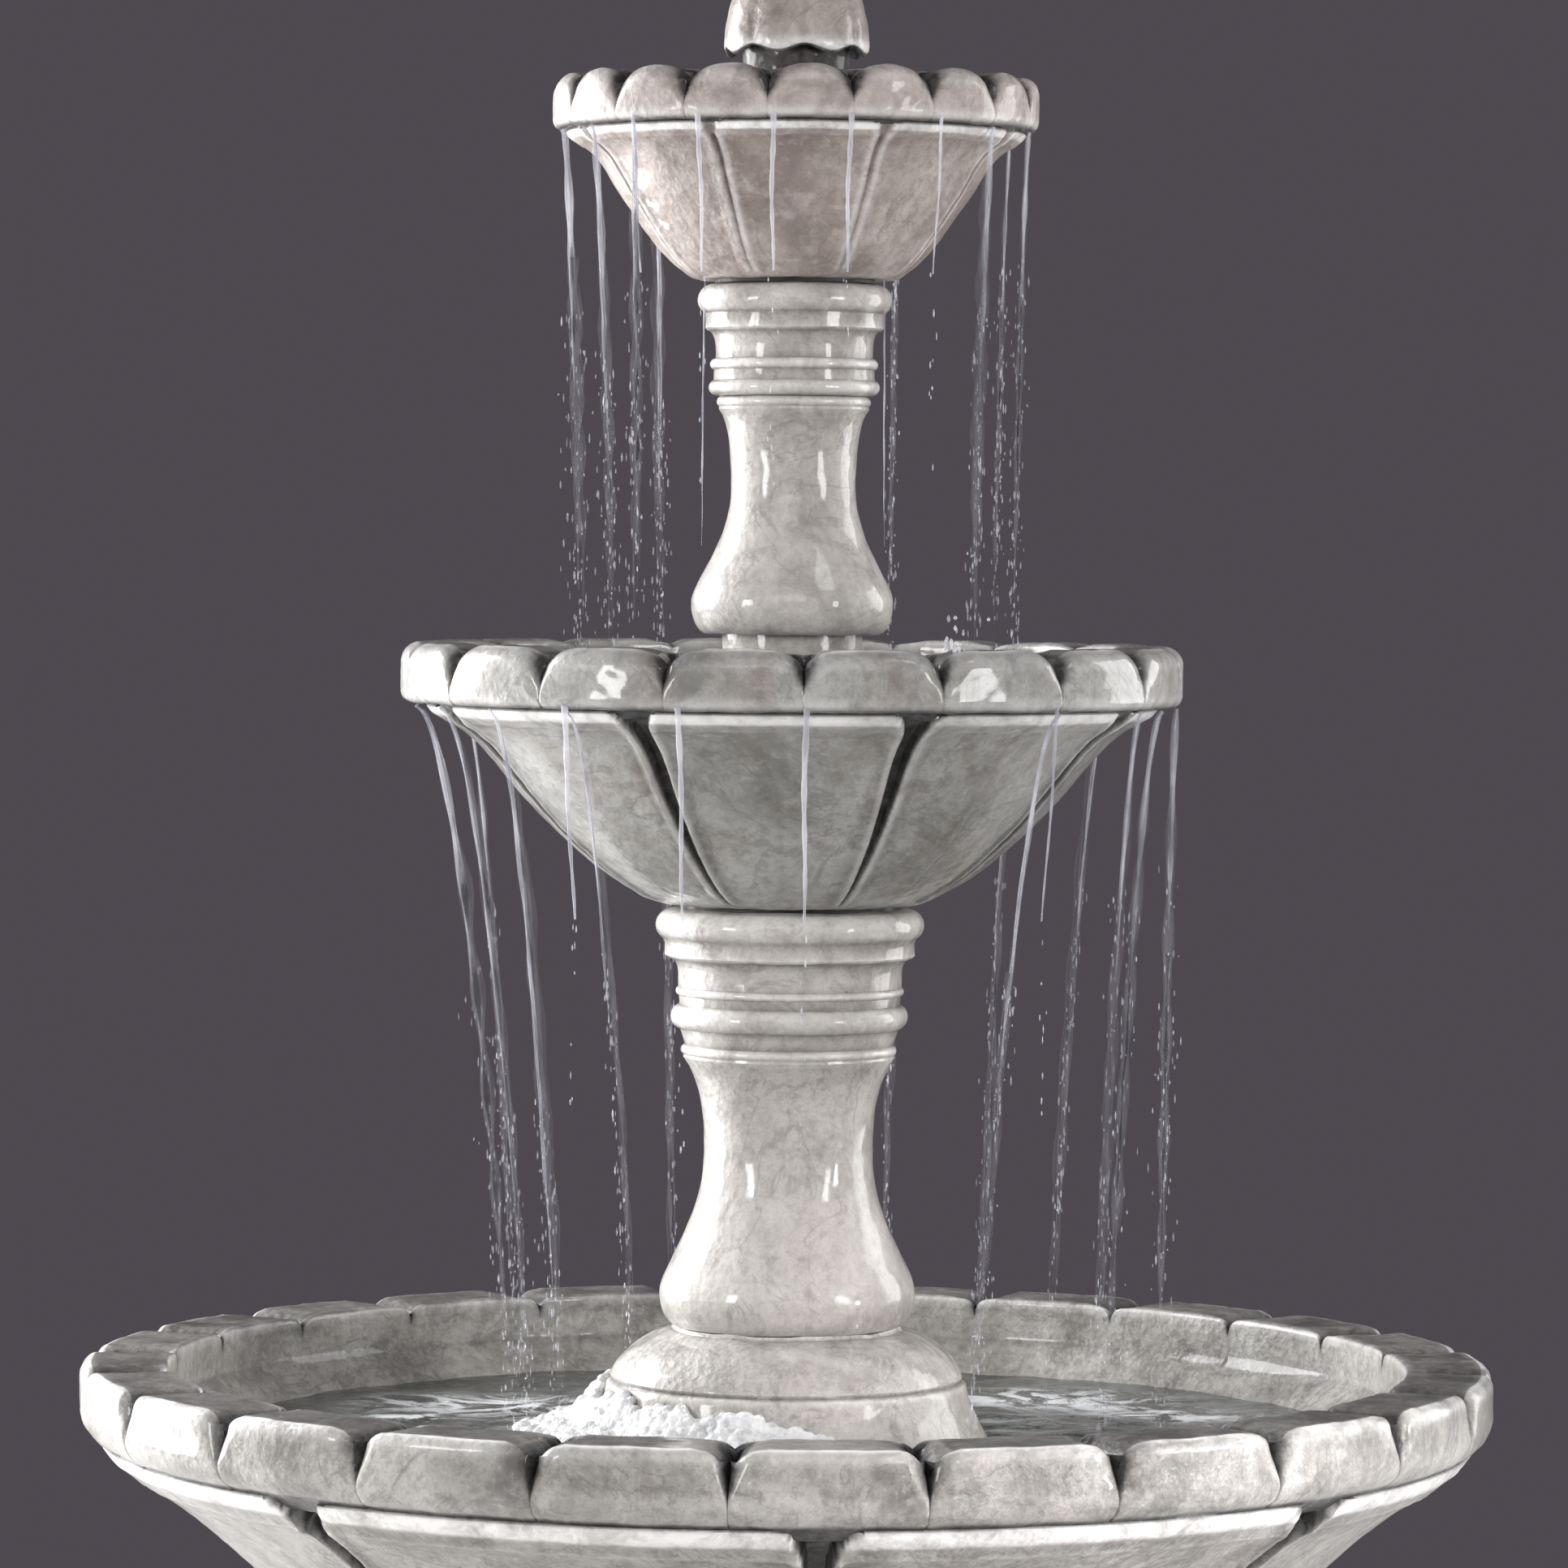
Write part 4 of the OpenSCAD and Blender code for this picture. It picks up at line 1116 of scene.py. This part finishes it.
fall_from(TOP, "top_fall", "top_basin", MIDDLE_WATER, seed=11, back_landing=0.185, front=(
    (-77, 180, 3.6, 0.34), (-58, 173, 3.2, 0.42), (-41.8, 190, 2.8, 0.30), (-143, 186, 2.2, 0.50),
    (55, 179, 3.0, 0.34), (78, 186, 2.4, 0.24),
))
fall_from(MIDDLE, "middle_fall", "middle_basin", LOWER_WATER, seed=12, back_landing=0.26, front=(
    (-74, 233, 3.6, 0.34), (-63, 232, 2.2, 0.50), (-49.3, 240, 2.6, 0.52), (-34, 218, 1.8, 0.30),
    (42, 222, 2.4, 0.36), (62.5, 282, 2.6, 0.24), (71, 275, 3.0, 0.26), (88, 309, 3.4, 0.20),
))
trickles(MIDDLE, "middle_trickles", "middle_basin", seed=21,
         places=((-34, 2.6), (-16, 2.6), (2, 2.8), (41, 1.6)))
trickles(TOP, "top_trickles", "top_basin", seed=22,
         places=((-41, 1.8), (-23, 2.2), (-5.4, 2.4), (12.6, 2.3), (36, 1.4)))
splash("rim_splash", "middle_basin", angle=FRONT + radians(24), r=MIDDLE.outer - 14 * MM, z=MIDDLE.top,
       height=26 * MM, drops=26, seed=31)


def foot_drips():
    """A thin drip from each side of the top bowl's foot, a little towards the viewer."""
    rng = random.Random(41)
    parts = Parts()
    start = (TOP.foot_r, TOP.bottom)
    end = (TOP.foot_r + 2 * MM, MIDDLE_WATER)
    for x in (-75 * MM, 70 * MM):
        thread(parts, rng, atan2(-25 * MM, x), start, end, 0.8 * MM, 0, 0.7)
    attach(parts.object("foot_drips", FALL), "top_basin")


foot_drips()


# ---- small parts that keep their CAD shape

def paint(material, *nodes):
    for node in nodes:
        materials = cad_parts[node].data.materials
        materials.clear()
        materials.append(material)


paint(rubber(), "lower_gasket", "middle_gasket", "top_gasket", "cord_stopper", "middle_washer", "top_washer",
      "pump_feet", "pump_cord_inlet", "rear_bush", "front_bush")
paint(plastic("grey_pvc", (0.55, 0.55, 0.53), (0.72, 0.72, 0.70)),
      "middle_standpipe", "middle_nut", "top_standpipe", "top_nut")
paint(plastic("black_pump_plastic", (0.012, 0.013, 0.014), (0.035, 0.036, 0.038), rough=(0.32, 0.55)),
      "pump_housing", "pump_volute", "filter_cover", "outlet_adapter")
paint(plastic("white_impeller_plastic", (0.70, 0.70, 0.67), (0.85, 0.85, 0.82)), "impeller", "flow_dial")
paint(plastic("potting_resin", (0.05, 0.025, 0.012), (0.11, 0.055, 0.03), rough=(0.15, 0.3)), "pump_stator")
paint(plastic("ferrite", (0.035, 0.035, 0.038), (0.075, 0.075, 0.08), rough=(0.35, 0.6)), "rotor_magnet")
paint(plastic("white_ceramic", (0.80, 0.80, 0.77), (0.90, 0.90, 0.88), rough=(0.08, 0.2)), "pump_shaft")
paint(plastic("filter_sponge", (0.015, 0.016, 0.018), (0.06, 0.062, 0.066), rough=(0.8, 0.95), grain=260),
      "filter_foam")
paint(metal("brass", (0.42, 0.29, 0.11), (0.68, 0.50, 0.22)), "spray_nozzle")
paint(metal("clamp_steel", (0.50, 0.50, 0.50), (0.72, 0.72, 0.71)), "hose_clamp", "clamp_screw")
paint(vinyl(), "riser_tube")


# ---- stage, light and camera

def make_floor():
    """A round, pale studio floor just under the plinth."""
    bpy.ops.mesh.primitive_circle_add(vertices=160, radius=3.3, fill_type="NGON", location=(0, 0, -0.5 * MM))
    floor = bpy.context.object
    floor.name = "studio_floor"
    s = Shader("pale_floor", 0.6)
    s.colour(s.ramp(s.noise(3, 4), (0.3, (0.62, 0.61, 0.60)), (0.7, (0.68, 0.67, 0.66))))
    floor.data.materials.append(s.material)


def softbox(name, azimuth, distance, height, size, power, aim=(0, 0, 1.2), spread=180):
    """An area light aimed at a point, with the spread of its cone in degrees.

    Azimuth 0 is at the viewer's side, and it grows to the right."""
    turn = FRONT + radians(azimuth)
    data = bpy.data.lights.new(name, "AREA")
    data.shape = "RECTANGLE"
    data.size, data.size_y = size
    data.energy = power
    data.spread = radians(spread)
    lamp = bpy.data.objects.new(name, data)
    lamp.location = (distance * cos(turn), distance * sin(turn), height)
    way = Vector(aim) - lamp.location
    lamp.rotation_euler = way.to_track_quat("-Z", "Y").to_euler()
    bpy.context.scene.collection.objects.link(lamp)


def make_world(colour):
    """A plain dim surround."""
    world = bpy.data.worlds.new("studio")
    world.use_nodes = True
    world.node_tree.nodes["Background"].inputs["Color"].default_value = (*colour, 1)
    bpy.context.scene.world = world


def make_camera():
    """A long, nearly level lens a little above the middle bowl. The fountain's foot is out of the picture."""
    data = bpy.data.cameras.new("camera")
    data.sensor_width = 36
    data.lens = 158.8
    distance, eye_height = 5.735, 1.391
    pitch, roll, yaw = radians(-2.02), radians(-0.43), radians(0.074)
    camera = bpy.data.objects.new("camera", data)
    camera.location = (0, -distance, eye_height)
    camera.rotation_euler = (pi / 2 + pitch, roll, yaw)
    bpy.context.scene.collection.objects.link(camera)
    bpy.context.scene.camera = camera


make_floor()
make_world((0.076, 0.067, 0.079))
softbox("left_edge", -116, 2.6, 1.5, (1.6, 2.6), 185)
softbox("right_edge", 112, 2.8, 1.5, (1.2, 2.2), 46)
softbox("front_left", -52, 3.2, 1.45, (0.62, 0.9), 50)
softbox("front_right", 52, 3.2, 1.45, (0.62, 0.9), 40)
softbox("front_fill", -6, 4.5, 3.1, (3.0, 1.4), 40)
softbox("low_fill", 0, 4.2, 0.45, (2.6, 0.8), 3)
softbox("low_right", 65, 2.8, 0.95, (0.5, 0.35), 1.0,
        aim=at(FRONT + radians(34), LOWER.outer, LOWER.top), spread=15)
softbox("pool_light", 50, 2.4, 4.2, (0.8, 0.8), 15, aim=(0, 0, LOWER.top))
make_camera()
bpy.context.scene.view_settings.view_transform = "Standard"
